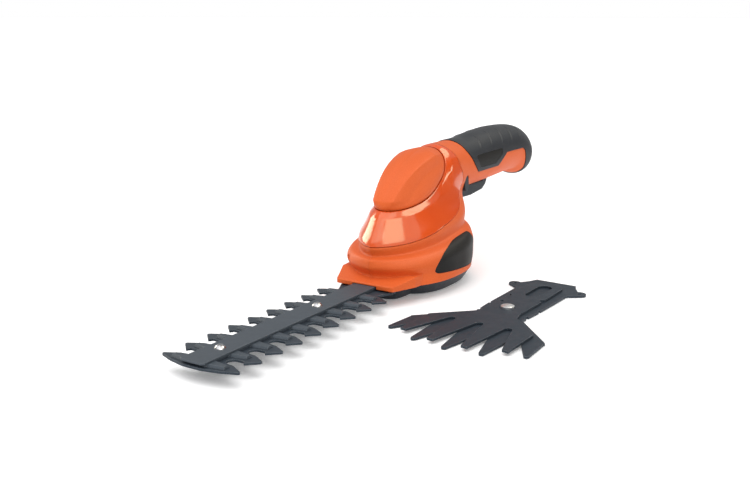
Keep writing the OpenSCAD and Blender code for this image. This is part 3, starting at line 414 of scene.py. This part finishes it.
BADGE_SINK = 1.2
BADGE_NEAR = 25
PLATE_NEAR = 10


def badge_outline():
    """Flank panel: an upper edge that curves down to the front tip, and straight lower and rear edges."""
    curve = bezier((-32.3, 25.9), (-4.6, 24.7), (19.3, 20.9), (20, 7.7))
    corners = [(17, 6), (-38, 2.6), (-42, 17)]
    return np.concatenate([curve, corners]) + [0, RIM_Z]


BADGE_OUTLINE = badge_outline()


# Moulded shells


def shell(inset=0.0, start=0.0, end=LAST, sides=200, steps=12):
    """Loft over a run of stations, moved in by an inset."""
    v = np.linspace(start, end, int(math.ceil((end - start) * steps)) + 1)
    angles = np.arange(sides) * 360.0 / sides
    return skin("shell", on_section(station(v)[:, None, :], angles[None, :], inset))


def core(inset, start=0.0, end=LAST):
    """Coarser loft, for surfaces that don't show."""
    return shell(inset, start, end, sides=120, steps=8)


def cavity():
    """Hollow inside of the housing, open at its foot."""
    angles = np.arange(96) * 360.0 / 96
    v = np.linspace(0, LAST * 0.994, 120)
    rows = on_section(station(v)[:, None, :], angles[None, :], WALL)
    floor_row = rows[:1] - [0, 0, WALL]
    return skin("cavity", np.concatenate([floor_row, rows]))


def lip():
    """Sloping lip over the blade's root, with a top that runs up into the housing in a hollow curve."""
    front_x, corner_x, rear_x = NOSE_X + 8.8, NOSE_X - 9, NOSE_X - 19
    front_half, corner_half, rear_half = 22.4, 29.4, 30.4
    edge_drop, top_run = 0.6, 17.5
    top = [(front_x - edge_drop - top_run * t, RIM_Z + LIP_T + LIP_RISE * t ** 1.35)
           for t in np.linspace(0, 1, 24)]
    side = [(front_x, RIM_Z), (front_x, RIM_Z + LIP_T - edge_drop)] + top
    side += [(rear_x, RIM_Z + LIP_T + LIP_RISE), (rear_x, RIM_Z)]
    plan = [(front_x, -front_half), (front_x, front_half), (corner_x, corner_half),
            (rear_x, rear_half), (rear_x, -rear_half), (corner_x, -corner_half)]
    body = prism("lip", side, -BODY_W / 2, BODY_W / 2, 1)
    combine(body, "INTERSECT", prism("plan", rounded(plan, 2.2), 0, 40, 2))
    edge = body.modifiers.new("edge", "BEVEL")
    edge.width = 0.7 * MM
    edge.segments = 4
    edge.angle_limit = math.radians(40)
    return applied(body)


def lip_hollow():
    front_x, rear_x, low = NOSE_X + 6.4, NOSE_X - 14, RIM_Z - 5
    side = [(front_x, low), (front_x, RIM_Z + 0.8), (rear_x, RIM_Z + 3.8), (rear_x, low)]
    return prism("hollow", side, -20, 20, 1)


def cover_plug(border, depth):
    """Solid within a border, from a depth under the surface to well above it."""
    above = -4
    scales = [0.03, 0.4, 0.8, 1]
    a = np.arange(240) * 360.0 / 240
    rows = [border_ring(border, a, scale, depth) for scale in scales]
    rows += [border_ring(border, a, scale, above) for scale in reversed(scales)]
    return skin("plug", rows)


def grip_recess():
    tool = prism("recess", grown(rounded(GRIP_OUTLINE, GRIP_CORNER), GAP / 2), -OUTSIDE, OUTSIDE, 1)
    return combine(tool, "DIFFERENCE", core(GRIP_T - GRIP_PROUD, GRIP_START, GRIP_CORE_END))


def badge_recess(side):
    low, high = beyond(side, BADGE_NEAR)
    tool = prism("recess", grown(rounded(BADGE_OUTLINE, BADGE_CORNER), GAP / 2), low, high, 1)
    return combine(tool, "DIFFERENCE", core(BADGE_SINK, 0, FLANK_END))


def trigger_slot():
    half = TRIGGER_W / 2 + 2 * GAP
    rear_x, front_x = TRIGGER_SLOT_X
    return box("slot", (rear_x, -half, HANDLE_Z - 20), (front_x, half, TRIGGER_SLOT_TOP))


def blade_slot():
    return box("slot", (NOSE_X - 16, -BLADE_SLOT_HALF, 0), (NOSE_X + 44, BLADE_SLOT_HALF, BLADE_SLOT_TOP))


def lock_window():
    half = [size / 2 + LOCK_GAP for size in LOCK_SIZE]
    return prism("window", oval((LOCK_X, LOCK_Z), half), -OUTSIDE, OUTSIDE, 1)


def lock_dish(side):
    """Shallow oval pocket round the lock button."""
    middle_y, deep = side * 19.2, 3.4
    half = np.array([LOCK_SIZE[0] / 2 + 3.2, LOCK_SIZE[1] / 2 + 2.9])
    turns = math.pi * np.linspace(0.02, 0.98, 24)
    rings = [raised(oval((LOCK_X, LOCK_Z), half * math.sin(t), 96), middle_y + deep * math.cos(t), 1)
             for t in turns]
    return skin("dish", rings)


def socket_hole():
    ring = oval((0, SOCKET_Z), (SOCKET_R, SOCKET_R))
    return skin("hole", [raised(ring, x, 0) for x in (-HANDLE_REACH - 20, -HANDLE_REACH + 20)])


def screw_holes():
    places = [(NOSE_X - 9, RIM_Z + 13), (10 - TAIL_X, RIM_Z + 14), (12.5 - TAIL_X, HANDLE_Z + 2),
              (handle_x(0.3), HANDLE_Z + 5.6), (handle_x(0.755), HANDLE_Z + 3.4)]
    half = (SCREW_HOLE_R, SCREW_HOLE_R)
    return [prism("screw", oval(place, half, 40), -OUTSIDE, -7, 1) for place in places]


def build_housing():
    whole = shell()
    combine(whole, "UNION", lip())
    combine(whole, "DIFFERENCE", cavity(), lip_hollow(), cover_plug(COVER_SEAT, SKIN_T + GAP),
            cover_plug(COVER_WINDOW, 3 * WALL + 2), grip_recess(), badge_recess(1), badge_recess(-1),
            trigger_slot(), lock_window(), lock_dish(1), lock_dish(-1), socket_hole(), *screw_holes(),
            blade_slot())
    place_halves(whole, "moulded_", "housing", "matte_orange")


def build_cover():
    """Glossy cover: rounded rim, crowned face, bevel down to the dome and a plain inner face."""
    a = even_angles(COVER_BORDER, 420)
    rim, bevel, foot = (np.stack(border_point(b, a)) for b in (COVER_BORDER, BEVEL_BORDER, BEVEL_FOOT))
    edge_r, edge_share = 0.7, 0.025

    def row(t, inset, drop=0.0):
        v, angle = (1 - t) * rim + t * ((1 - drop) * bevel + drop * foot)
        return on_section(station(v), angle, inset)

    turns = np.linspace(0, math.pi / 2, 7)
    rows = [row(edge_share * (1 - math.cos(t)), edge_r * (1 - math.sin(t))) for t in turns]
    rows += [row(t, 0) for t in np.linspace(0.045, 0.97, 44)]
    rows += [row(1, 0.06), row(1, 0.16, 0.05)]
    rows += [row(1, BEVEL_DROP * t, t) for t in np.linspace(0.12, 0.94, 8)]
    rows += [row(1, BEVEL_DROP + 0.15, 1), row(1, BEVEL_DROP + WALL_DROP + SKIN_T, 1)]
    rows += [row(t, SKIN_T) for t in np.linspace(0.96, 0.03, 20)]
    rows += [row(0, SKIN_T)]
    cover = skin("gloss_front_cover", rows, joined=True)
    place(cover, "housing", "gloss_orange", "front_cover")


def ridge(v, angle):
    """Soft ridge that runs from the dome's front up to its rear top."""
    height, upper, lower = 4.2, 48.0, 24.0
    off = np.abs(angle) - (14 + 7.5 * (v - 7.3))
    return height * np.clip(1 - np.where(off < 0, -off / upper, off / lower), 0, 1) ** 1.4


def build_dome():
    """Matte dome: its flange under the cover, a rounded edge, the ridged crown and a plain inner face."""
    a = even_angles(DOME_BORDER, 360)
    scales = [0.0, 0.66, 0.82, 0.89, 0.93, 0.952, 0.958, 0.964, 0.97, 1.07]
    drops = [0.0, 0.0, 0.1, 0.5, 1.3, 1.95, 2.3, DOME_DROP - 0.2, DOME_DROP, DOME_DROP]
    inner = [(0.02, SKIN_T), (0.4, SKIN_T), (0.8, SKIN_T + 0.4), (0.93, DOME_DROP),
             (1.07, DOME_DROP + SKIN_T)]
    rows = [border_ring(DOME_BORDER, a, scale, inset) for scale, inset in inner]
    flange, edge = np.linspace(1.07, 0.97, 5), np.linspace(0.967, 0.93, 14)
    face = np.linspace(0.925, 0.02, 56)
    for scale in np.concatenate([flange, edge, face]):
        lift = ridge(*border_point(DOME_BORDER, a, scale)) * np.clip((0.94 - scale) / 0.2, 0, 1)
        rows.append(border_ring(DOME_BORDER, a, scale, np.interp(scale, scales, drops) - lift))
    dome = skin("moulded_top_dome", rows)
    place(dome, "housing", "matte_orange", "top_dome")


def grip_lines(points, angles):
    """Height of the fine raised lines at points of the grip's surface; they end short of its top."""
    count, start, step, lean, low = 5, -85.5, 18.0, math.radians(28), HANDLE_TOP - 13
    height, half_width = 0.5, 0.75
    x, z = points[..., 0], points[..., 2]
    off_top = np.minimum(angles, 360 - angles)
    fade = np.clip((z - low) / 3, 0, 1) * np.clip((off_top - 14) / 16, 0, 1)
    total = np.zeros_like(x)
    for i in range(count):
        off = np.abs(x - (start - i * step) + math.tan(lean) * (z - low)) * math.cos(lean)
        near = np.clip(1 - off / half_width, 0, 1)
        total += near * near * (3 - 2 * near)
    return height * fade * total


def build_grips():
    v = np.linspace(GRIP_START, GRIP_END, 560)
    angles = (np.arange(220) * 360.0 / 220)[None, :]
    sections = station(v)[:, None, :]
    plain = on_section(sections, angles, -GRIP_PROUD)
    whole = skin("grip", on_section(sections, angles, -GRIP_PROUD - grip_lines(plain, angles)))
    combine(whole, "INTERSECT", prism("outline", rounded(GRIP_OUTLINE, GRIP_CORNER), -OUTSIDE, OUTSIDE, 1))
    recess = prism("recess", grown(rounded(PLATE_OUTLINE, PLATE_CORNER), GAP / 2), -OUTSIDE, OUTSIDE, 1)
    combine(recess, "DIFFERENCE", core(PLATE_SINK - GRIP_PROUD, GRIP_START))
    inside = core(GRIP_T - GRIP_PROUD - OVERLAP, GRIP_START - 0.1, GRIP_CORE_END)
    combine(whole, "DIFFERENCE", inside, recess, socket_hole())
    place_halves(whole, "soft_", "grip", "soft_grip")


def build_side_plate(side, word):
    """Bare plate in the grip."""
    low, high = beyond(side, PLATE_NEAR)
    sink = PLATE_SINK - GRIP_PROUD
    plate = prism("satin_%s_side_plate" % word, rounded(PLATE_OUTLINE, PLATE_CORNER), low, high, 1)
    combine(plate, "INTERSECT", core(sink - PLATE_SKIN, GRIP_START, PLATE_END))
    combine(plate, "DIFFERENCE", core(sink - OVERLAP, GRIP_START, PLATE_END))
    place(plate, "housing", "black_panel", word + "_side_plate")


def build_badge_panel(side, word):
    """Bare panel on the flank."""
    low, high = beyond(side, BADGE_NEAR)
    panel = prism("satin_%s_badge_panel" % word, rounded(BADGE_OUTLINE, BADGE_CORNER), low, high, 1)
    combine(panel, "INTERSECT", shell(0.15, 0, FLANK_END))
    combine(panel, "DIFFERENCE", core(BADGE_SINK - OVERLAP, 0, FLANK_END))
    place(panel, "housing", "black_panel", word + "_badge_panel")


# Fasteners and spring


def crown(radius, seat, height):
    """Profile of a shallow dome over a seat."""
    ball_r = (radius ** 2 + height ** 2) / (2 * height)
    reach = radius * np.linspace(0.985, 0.04, 16)
    return [(r, seat + height - ball_r + math.sqrt(ball_r ** 2 - r ** 2)) for r in reach]


def build_rivets():
    pin_r, low, head_r, seat, head_h = 2.0, 8.2, 3.3, 12.6, 2.2
    profile = [(pin_r, low), (pin_r, seat), (head_r, seat)] + crown(head_r, seat, head_h)
    rivets, other = (turned("domed_hedge_rivets", profile, spot) for spot in RIVET_SPOTS)
    combine(rivets, "UNION", other)
    place(rivets, "blade_unit", "bright_steel", "hedge_rivets")


def build_bolt():
    """Pivot bolt of the grass blade: an upright rim and a shallow domed top."""
    pin_r, low, head_r, seat, rim_h, crown_h = 2.5, 0.0, 4.5, 3.5, 1.21, 0.99
    rim = seat + rim_h
    profile = [(pin_r, low), (pin_r, seat), (head_r, seat), (head_r, rim)] + crown(head_r, rim, crown_h)
    place(turned("domed_pivot_bolt", profile, BOLT_SPOT), "grass_base", "plain_steel", "grass_pivot_bolt")


def build_spring():
    """The coil over the trigger, at one fixed length; on the tool it shortens as the trigger is pulled."""
    turn = np.linspace(0, 2 * math.pi * SPRING_TURNS, 32 * SPRING_TURNS + 1)[:, None]
    wire = np.linspace(0, 2 * math.pi, 12, endpoint=False)[None, :]
    reach = SPRING_R - WIRE_R + WIRE_R * np.cos(wire)
    rise = np.linspace(SPRING_LOW + WIRE_R, SPRING_TOP - WIRE_R, len(turn))[:, None]
    rings = np.stack([SPRING_X + reach * np.cos(turn), reach * np.sin(turn),
                      rise + WIRE_R * np.sin(wire)], axis=-1)
    coil = skin("coiled_trigger_spring", rings)
    place(coil, "housing", "plain_steel", "trigger_spring")
    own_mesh(coil)


# Finishes


class Finish:
    """Small helper that wires one procedural material.

    Noise scales are per metre; edge radii and bump distances are in millimetres.
    """

    def __init__(self, name):
        self.material = bpy.data.materials.new(name)
        self.material.use_nodes = True
        self.tree = self.material.node_tree
        self.shader = self.tree.nodes["Principled BSDF"]
        self.place = self.node("ShaderNodeTexCoord").outputs["Object"]

    def node(self, kind, **settings):
        made = self.tree.nodes.new(kind)
        for key, value in settings.items():
            setattr(made, key, value)
        return made

    def link(self, source, target):
        self.tree.links.new(source, target)

    def paint(self, **sources):
        """Links sources to the shader's sockets of these names."""
        for key, source in sources.items():
            self.link(source, self.shader.inputs[key.replace("_", " ")])

    def set(self, **values):
        """Sets constants on the shader's sockets of these names."""
        for key, value in values.items():
            self.shader.inputs[key.replace("_", " ")].default_value = value

    def noise(self, scale, detail=3.0, stretch=None):
        texture = self.node("ShaderNodeTexNoise")
        texture.inputs["Scale"].default_value = scale
        texture.inputs["Detail"].default_value = detail
        source = self.place
        if stretch:
            mapping = self.node("ShaderNodeMapping")
            mapping.inputs["Scale"].default_value = stretch
            self.link(source, mapping.inputs["Vector"])
            source = mapping.outputs["Vector"]
        self.link(source, texture.inputs["Vector"])
        return texture.outputs["Fac"]

    def spread(self, source, low, high, start=0.3, end=0.7):
        """Value that runs from low to high as the source runs from start to end."""
        ranged = self.node("ShaderNodeMapRange")
        for key, value in zip(("From Min", "From Max", "To Min", "To Max"), (start, end, low, high)):
            ranged.inputs[key].default_value = value
        self.link(source, ranged.inputs["Value"])
        return ranged.outputs["Result"]

    def product(self, first, second):
        times = self.node("ShaderNodeMath", operation="MULTIPLY")
        self.link(first, times.inputs[0])
        self.link(second, times.inputs[1])
        return times.outputs["Value"]

    def colours(self, factor, first, second):
        """Mix of two colours."""
        mix = self.node("ShaderNodeMix", data_type="RGBA")
        mix.inputs["A"].default_value = (*first, 1)
        mix.inputs["B"].default_value = (*second, 1)
        self.link(factor, mix.inputs["Factor"])
        return mix.outputs["Result"]

    def over(self, factor, base, colour):
        """Colour laid over a base."""
        mix = self.node("ShaderNodeMix", data_type="RGBA")
        mix.inputs["B"].default_value = (*colour, 1)
        self.link(factor, mix.inputs["Factor"])
        self.link(base, mix.inputs["A"])
        return mix.outputs["Result"]

    def edges(self, radius):
        """How close a point is to a sharp edge, from 0 to 1, and the normal rounded over that edge."""
        bevel = self.node("ShaderNodeBevel", samples=4)
        bevel.inputs["Radius"].default_value = radius * MM
        plain = self.node("ShaderNodeNewGeometry").outputs["Normal"]
        dot = self.node("ShaderNodeVectorMath", operation="DOT_PRODUCT")
        self.link(bevel.outputs["Normal"], dot.inputs[0])
        self.link(plain, dot.inputs[1])
        return self.spread(dot.outputs["Value"], 1.0, 0.0, 0.75, 0.995), bevel.outputs["Normal"]

    def bump(self, height, strength, distance, normal=None):
        bump = self.node("ShaderNodeBump")
        bump.inputs["Strength"].default_value = strength
        bump.inputs["Distance"].default_value = distance * MM
        self.link(height, bump.inputs["Height"])
        if normal is not None:
            self.link(normal, bump.inputs["Normal"])
        self.paint(Normal=bump.outputs["Normal"])


def speckled(name, first, second, wear_and_highlight, roughness, edge, shine=0.2):
    """Moulded plastic with a fine spark-eroded texture, and edges painted lighter: partly wear, partly a
    painted highlight.
    """
    f = Finish(name)
    grain = f.noise(1500, 2)
    near, normal = f.edges(edge)
    base = f.colours(f.spread(grain, 0, 1, 0.35, 0.65), first, second)
    # Edges painted lighter near sharp edges: partly wear, partly a painted highlight
    worn_and_highlit = f.product(near, f.spread(f.noise(180, 4), 0.15, 0.8))
    f.paint(Base_Color=f.over(worn_and_highlit, base, wear_and_highlight),
            Roughness=f.spread(f.noise(45, 5), roughness - 0.05, roughness + 0.06))
    f.bump(grain, 0.15, 0.05, normal)
    f.set(Specular_IOR_Level=shine)
    return f.material


def matte_orange():
    # The third colour goes on the edges: partly wear, partly a painted highlight
    orange, light, wear_and_highlight = (0.6, 0.094, 0.016), (0.635, 0.11, 0.022), (0.85, 0.17, 0.055)
    return speckled("matte_orange", orange, light, wear_and_highlight, 0.5, 0.5)


def dark_plastic():
    # The third colour goes on the edges: partly wear, partly a painted highlight
    dark, light, wear_and_highlight = (0.019, 0.024, 0.031), (0.029, 0.035, 0.043), (0.075, 0.082, 0.09)
    return speckled("dark_plastic", dark, light, wear_and_highlight, 0.48, 0.45)


def black_panel():
    # The third colour goes on the edges: partly wear, partly a painted highlight
    black, light, wear_and_highlight = (0.007, 0.007, 0.007), (0.011, 0.011, 0.011), (0.03, 0.03, 0.03)
    return speckled("black_panel", black, light, wear_and_highlight, 0.5, 0.3, 0.18)


def gloss_orange():
    """Polished plastic: a faint waviness, fine dust marks and cream reflections."""
    f = Finish("gloss_orange")
    f.paint(Base_Color=f.colours(f.spread(f.noise(22, 3), 0, 1), (0.60, 0.062, 0.006), (0.66, 0.076, 0.009)),
            Roughness=f.spread(f.noise(260, 5), 0.10, 0.17, 0.35, 0.75))
    _, normal = f.edges(0.35)
    f.bump(f.noise(38, 2), 0.035, 0.25, normal)
    f.set(Specular_IOR_Level=0.68, Specular_Tint=(0.55, 1.0, 0.8, 1.0))
    return f.material


def soft_grip():
    """Elastomer with a satin skin, a fine grain and a painted highlight along its edges."""
    f = Finish("soft_grip")
    grain = f.noise(950, 3)
    near, normal = f.edges(0.5)
    base = f.colours(f.spread(grain, 0, 1), (0.011, 0.014, 0.019), (0.019, 0.023, 0.029))
    # Edges painted lighter grey: a painted highlight along the grip's sharp edges
    f.paint(Base_Color=f.over(f.spread(near, 0, 0.35, 0, 1), base, (0.085, 0.092, 0.10)),
            Roughness=f.spread(f.noise(60, 4), 0.44, 0.56))
    f.bump(grain, 0.14, 0.06, normal)
    f.set(Specular_IOR_Level=0.26, Sheen_Weight=0.03, Sheen_Roughness=0.4)
    return f.material


def blade_coating():
    """Dark low-friction coating over steel, paler on the raised spine, and lighter along its edges: partly
    rubbed bare steel, partly a painted highlight.
    """
    f = Finish("blade_coating")
    brushed = f.noise(160, 4, (1.0, 9.0, 5.0))
    near, normal = f.edges(0.22)
    base = f.colours(f.spread(brushed, 0, 1), (0.019, 0.028, 0.039), (0.025, 0.035, 0.048))
    split = f.node("ShaderNodeSeparateXYZ")
    f.link(f.place, split.inputs["Vector"])
    raised_part = f.spread(split.outputs["Z"], 0, 0.7, 9 * MM, 11.5 * MM)
    base = f.over(raised_part, base, (0.066, 0.079, 0.094))
    # Pale grey on the edges: partly rubbed bare steel, partly a painted highlight
    rubbed_and_highlit = f.product(near, f.spread(f.noise(240, 4), 0.35, 0.95))
    f.paint(Base_Color=f.over(rubbed_and_highlit, base, (0.34, 0.36, 0.38)),
            Roughness=f.spread(f.noise(120, 5), 0.46, 0.58))
    f.bump(brushed, 0.04, 0.04, normal)
    f.set(Metallic=0.05, Specular_IOR_Level=0.24)
    return f.material


def metal(name, first, second, low, high, stretch=None):
    """Bare metal with fine marks and a roughness from low to high."""
    f = Finish(name)
    marks = f.noise(320, 5, stretch)
    f.paint(Base_Color=f.colours(f.spread(marks, 0, 1), first, second),
            Roughness=f.spread(f.noise(150, 4), low, high))
    _, normal = f.edges(0.15)
    f.bump(marks, 0.06, 0.03, normal)
    f.set(Metallic=1.0)
    return f.material


def bright_steel():
    return metal("bright_steel", (0.30, 0.30, 0.31), (0.37, 0.37, 0.38), 0.14, 0.24)


def plain_steel():
    return metal("plain_steel", (0.56, 0.57, 0.58), (0.68, 0.69, 0.70), 0.26, 0.42, (1, 1, 9))


def bronze():
    return metal("bronze", (0.50, 0.31, 0.12), (0.60, 0.40, 0.17), 0.34, 0.5)


def inner_plastic(name, first, second, roughness):
    """Plastic of the pieces inside: a cloudy tone and a fine grain."""
    f = Finish(name)
    f.paint(Base_Color=f.colours(f.spread(f.noise(90, 4), 0, 1), first, second),
            Roughness=f.spread(f.noise(300, 3), roughness - 0.06, roughness + 0.06))
    f.bump(f.noise(900, 2), 0.1, 0.04)
    return f.material


def nylon():
    return inner_plastic("nylon", (0.76, 0.75, 0.68), (0.82, 0.81, 0.74), 0.42)


def cell_wrap():
    return inner_plastic("cell_wrap", (0.035, 0.15, 0.34), (0.045, 0.18, 0.39), 0.3)


def board():
    return inner_plastic("board", (0.012, 0.085, 0.03), (0.02, 0.11, 0.04), 0.4)


MAKERS = (matte_orange, gloss_orange, dark_plastic, soft_grip, black_panel, blade_coating,
          bright_steel, plain_steel, bronze, nylon, cell_wrap, board)
FINISHES = {make.__name__: make() for make in MAKERS}


def dress(obj, slot):
    obj.data.materials.clear()
    obj.data.materials.append(FINISHES[slot])


# Plain solids that stay: width in millimetres and segments of their rounded edges, and finishes

EDGES = {
    "hedge_comb": (0.22, 2), "hedge_cutter": (0.07, 1), "hedge_spine": (0.3, 3), "grass_comb": (0.25, 2),
    "grass_cutter": (0.1, 1), "trigger": (1.4, 4), "lock_button": (0.8, 3), "base_cover": (0.25, 2)}


def soften(obj, width, segments):
    """Rounds the sharp edges of a solid, with flat faces kept flat in the light."""
    weld = obj.modifiers.new("weld", "WELD")
    weld.merge_threshold = 0.002 * MM
    edge = obj.modifiers.new("edge", "BEVEL")
    edge.width = width * MM
    edge.segments = segments
    edge.limit_method = "ANGLE"
    edge.angle_limit = math.radians(34)
    edge.loop_slide = False
    level = obj.modifiers.new("level", "WEIGHTED_NORMAL")
    level.keep_sharp = True


def finish_solids():
    for obj in nodes.values():
        slot = obj.data.materials[0].name.split(".")[0]
        dress(obj, slot)
    for node, (width, segments) in EDGES.items():
        soften(nodes[node], width, segments)


# Studio, in metres

WARM = (1.0, 0.92, 0.76)
LIT_SPOT = (0.02, 0.0, 0.05)
CAMERA_SPOT = (0.5525, 0.3252, 0.1877)
CAMERA_LOOK = (-0.8177, -0.5205, -0.2460)
LENS = 44.15
SENSOR = 36


def aimed(name, data, direction, spot=(0, 0, 0)):
    """Light or camera that looks along a direction from a spot."""
    obj = bpy.data.objects.new(name, data)
    obj.location = spot
    obj.rotation_euler = Vector(direction).to_track_quat("-Z", "Y").to_euler()
    bpy.context.scene.collection.objects.link(obj)
    return obj


def softbox(name, spot, size, power):
    """Rectangular soft light that looks at the head of the tool and shows only as a reflection."""
    data = bpy.data.lights.new(name, "AREA")
    data.shape = "RECTANGLE"
    data.size, data.size_y = size
    data.energy = power
    data.color = WARM
    lamp = aimed(name, data, Vector(LIT_SPOT) - Vector(spot), spot)
    lamp.visible_diffuse = False
    lamp.visible_camera = False


def sun(name, strength, width, direction):
    """Wide distant light, of a width in degrees."""
    data = bpy.data.lights.new(name, "SUN")
    data.energy = strength
    data.angle = math.radians(width)
    aimed(name, data, direction)


def build_floor():
    """Pale floor that glows a little more with distance, so that it runs into the white surroundings."""
    low = solid_low.z / MM - 0.3
    reach = 60 / MM
    corners = [(-reach, -reach, low), (-reach, reach, low), (reach, reach, low), (reach, -reach, low)]
    floor = new_object("floor", corners, [(3, 2, 1, 0)])
    f = Finish("pale_floor")
    far = f.node("ShaderNodeVectorMath", operation="LENGTH")
    f.link(f.place, far.inputs[0])
    f.paint(Base_Color=f.colours(f.spread(f.noise(3, 2), 0, 1), (0.93, 0.93, 0.93), (0.95, 0.95, 0.95)),
            Emission_Strength=f.spread(far.outputs["Value"], 0.15, 0.5, 0.6, 3.0))
    f.set(Roughness=0.7, Emission_Color=(1, 1, 1, 1))
    floor.data.materials.append(f.material)


def build_flag():
    """Dark card beside the tool, seen only in reflections, that keeps the white floor out of its flank."""
    near, far, height = (-80, 320), (-1000, 80), 220
    corners = [(*near, 0), (*far, 0), (*far, height), (*near, height)]
    flag = new_object("flag", corners, [(0, 1, 2, 3)])
    f = Finish("dark_card")
    f.paint(Base_Color=f.colours(f.noise(4, 2), (0.10, 0.08, 0.07), (0.13, 0.10, 0.09)))
    flag.data.materials.append(f.material)
    flag.visible_camera = False
    flag.visible_diffuse = False
    flag.visible_shadow = False


def build_world():
    """Soft surroundings, pale at the horizon and dimmer above."""
    world = bpy.data.worlds.new("studio")
    world.use_nodes = True
    tree = world.node_tree
    split = tree.nodes.new("ShaderNodeSeparateXYZ")
    fade = tree.nodes.new("ShaderNodeMapRange")
    tree.links.new(tree.nodes.new("ShaderNodeTexCoord").outputs["Generated"], split.inputs["Vector"])
    tree.links.new(split.outputs["Z"], fade.inputs["Value"])
    for key, value in (("From Min", 0.02), ("From Max", 0.16), ("To Min", 1.0), ("To Max", 0.52)):
        fade.inputs[key].default_value = value
    tree.links.new(fade.outputs["Result"], tree.nodes["Background"].inputs["Strength"])
    tree.nodes["Background"].inputs["Color"].default_value = (1, 1, 1, 1)
    bpy.context.scene.world = world
    bpy.context.scene.view_settings.view_transform = "Standard"


def build_studio():
    build_floor()
    build_flag()
    build_world()
    softbox("left_box", (0.03, -1.0, 0.38), (0.5, 0.45), 6.0)
    softbox("key_box", (0.5, 0.68, 0.72), (0.8, 0.5), 5.4)
    softbox("rim_box", (-0.26, 0.245, 0.095), (0.07, 0.045), 0.06)
    softbox("top_box", (-0.5, 0.55, 1.0), (0.95, 0.62), 10.5)
    sun("sky", 1.9, 70, (-0.35, 0.2, -1))
    sun("fill", 1.3, 90, (-0.5, -0.8, -0.6))


def build_camera():
    data = bpy.data.cameras.new("camera")
    data.sensor_width = SENSOR
    data.lens = LENS
    data.clip_start = 0.01
    bpy.context.scene.camera = aimed("camera", data, CAMERA_LOOK, CAMERA_SPOT)


finish_solids()
build_housing()
build_cover()
build_dome()
build_grips()
for side, word in SIDES:
    build_side_plate(side, word)
    build_badge_panel(side, word)
build_rivets()
build_bolt()
build_spring()
build_studio()
build_camera()
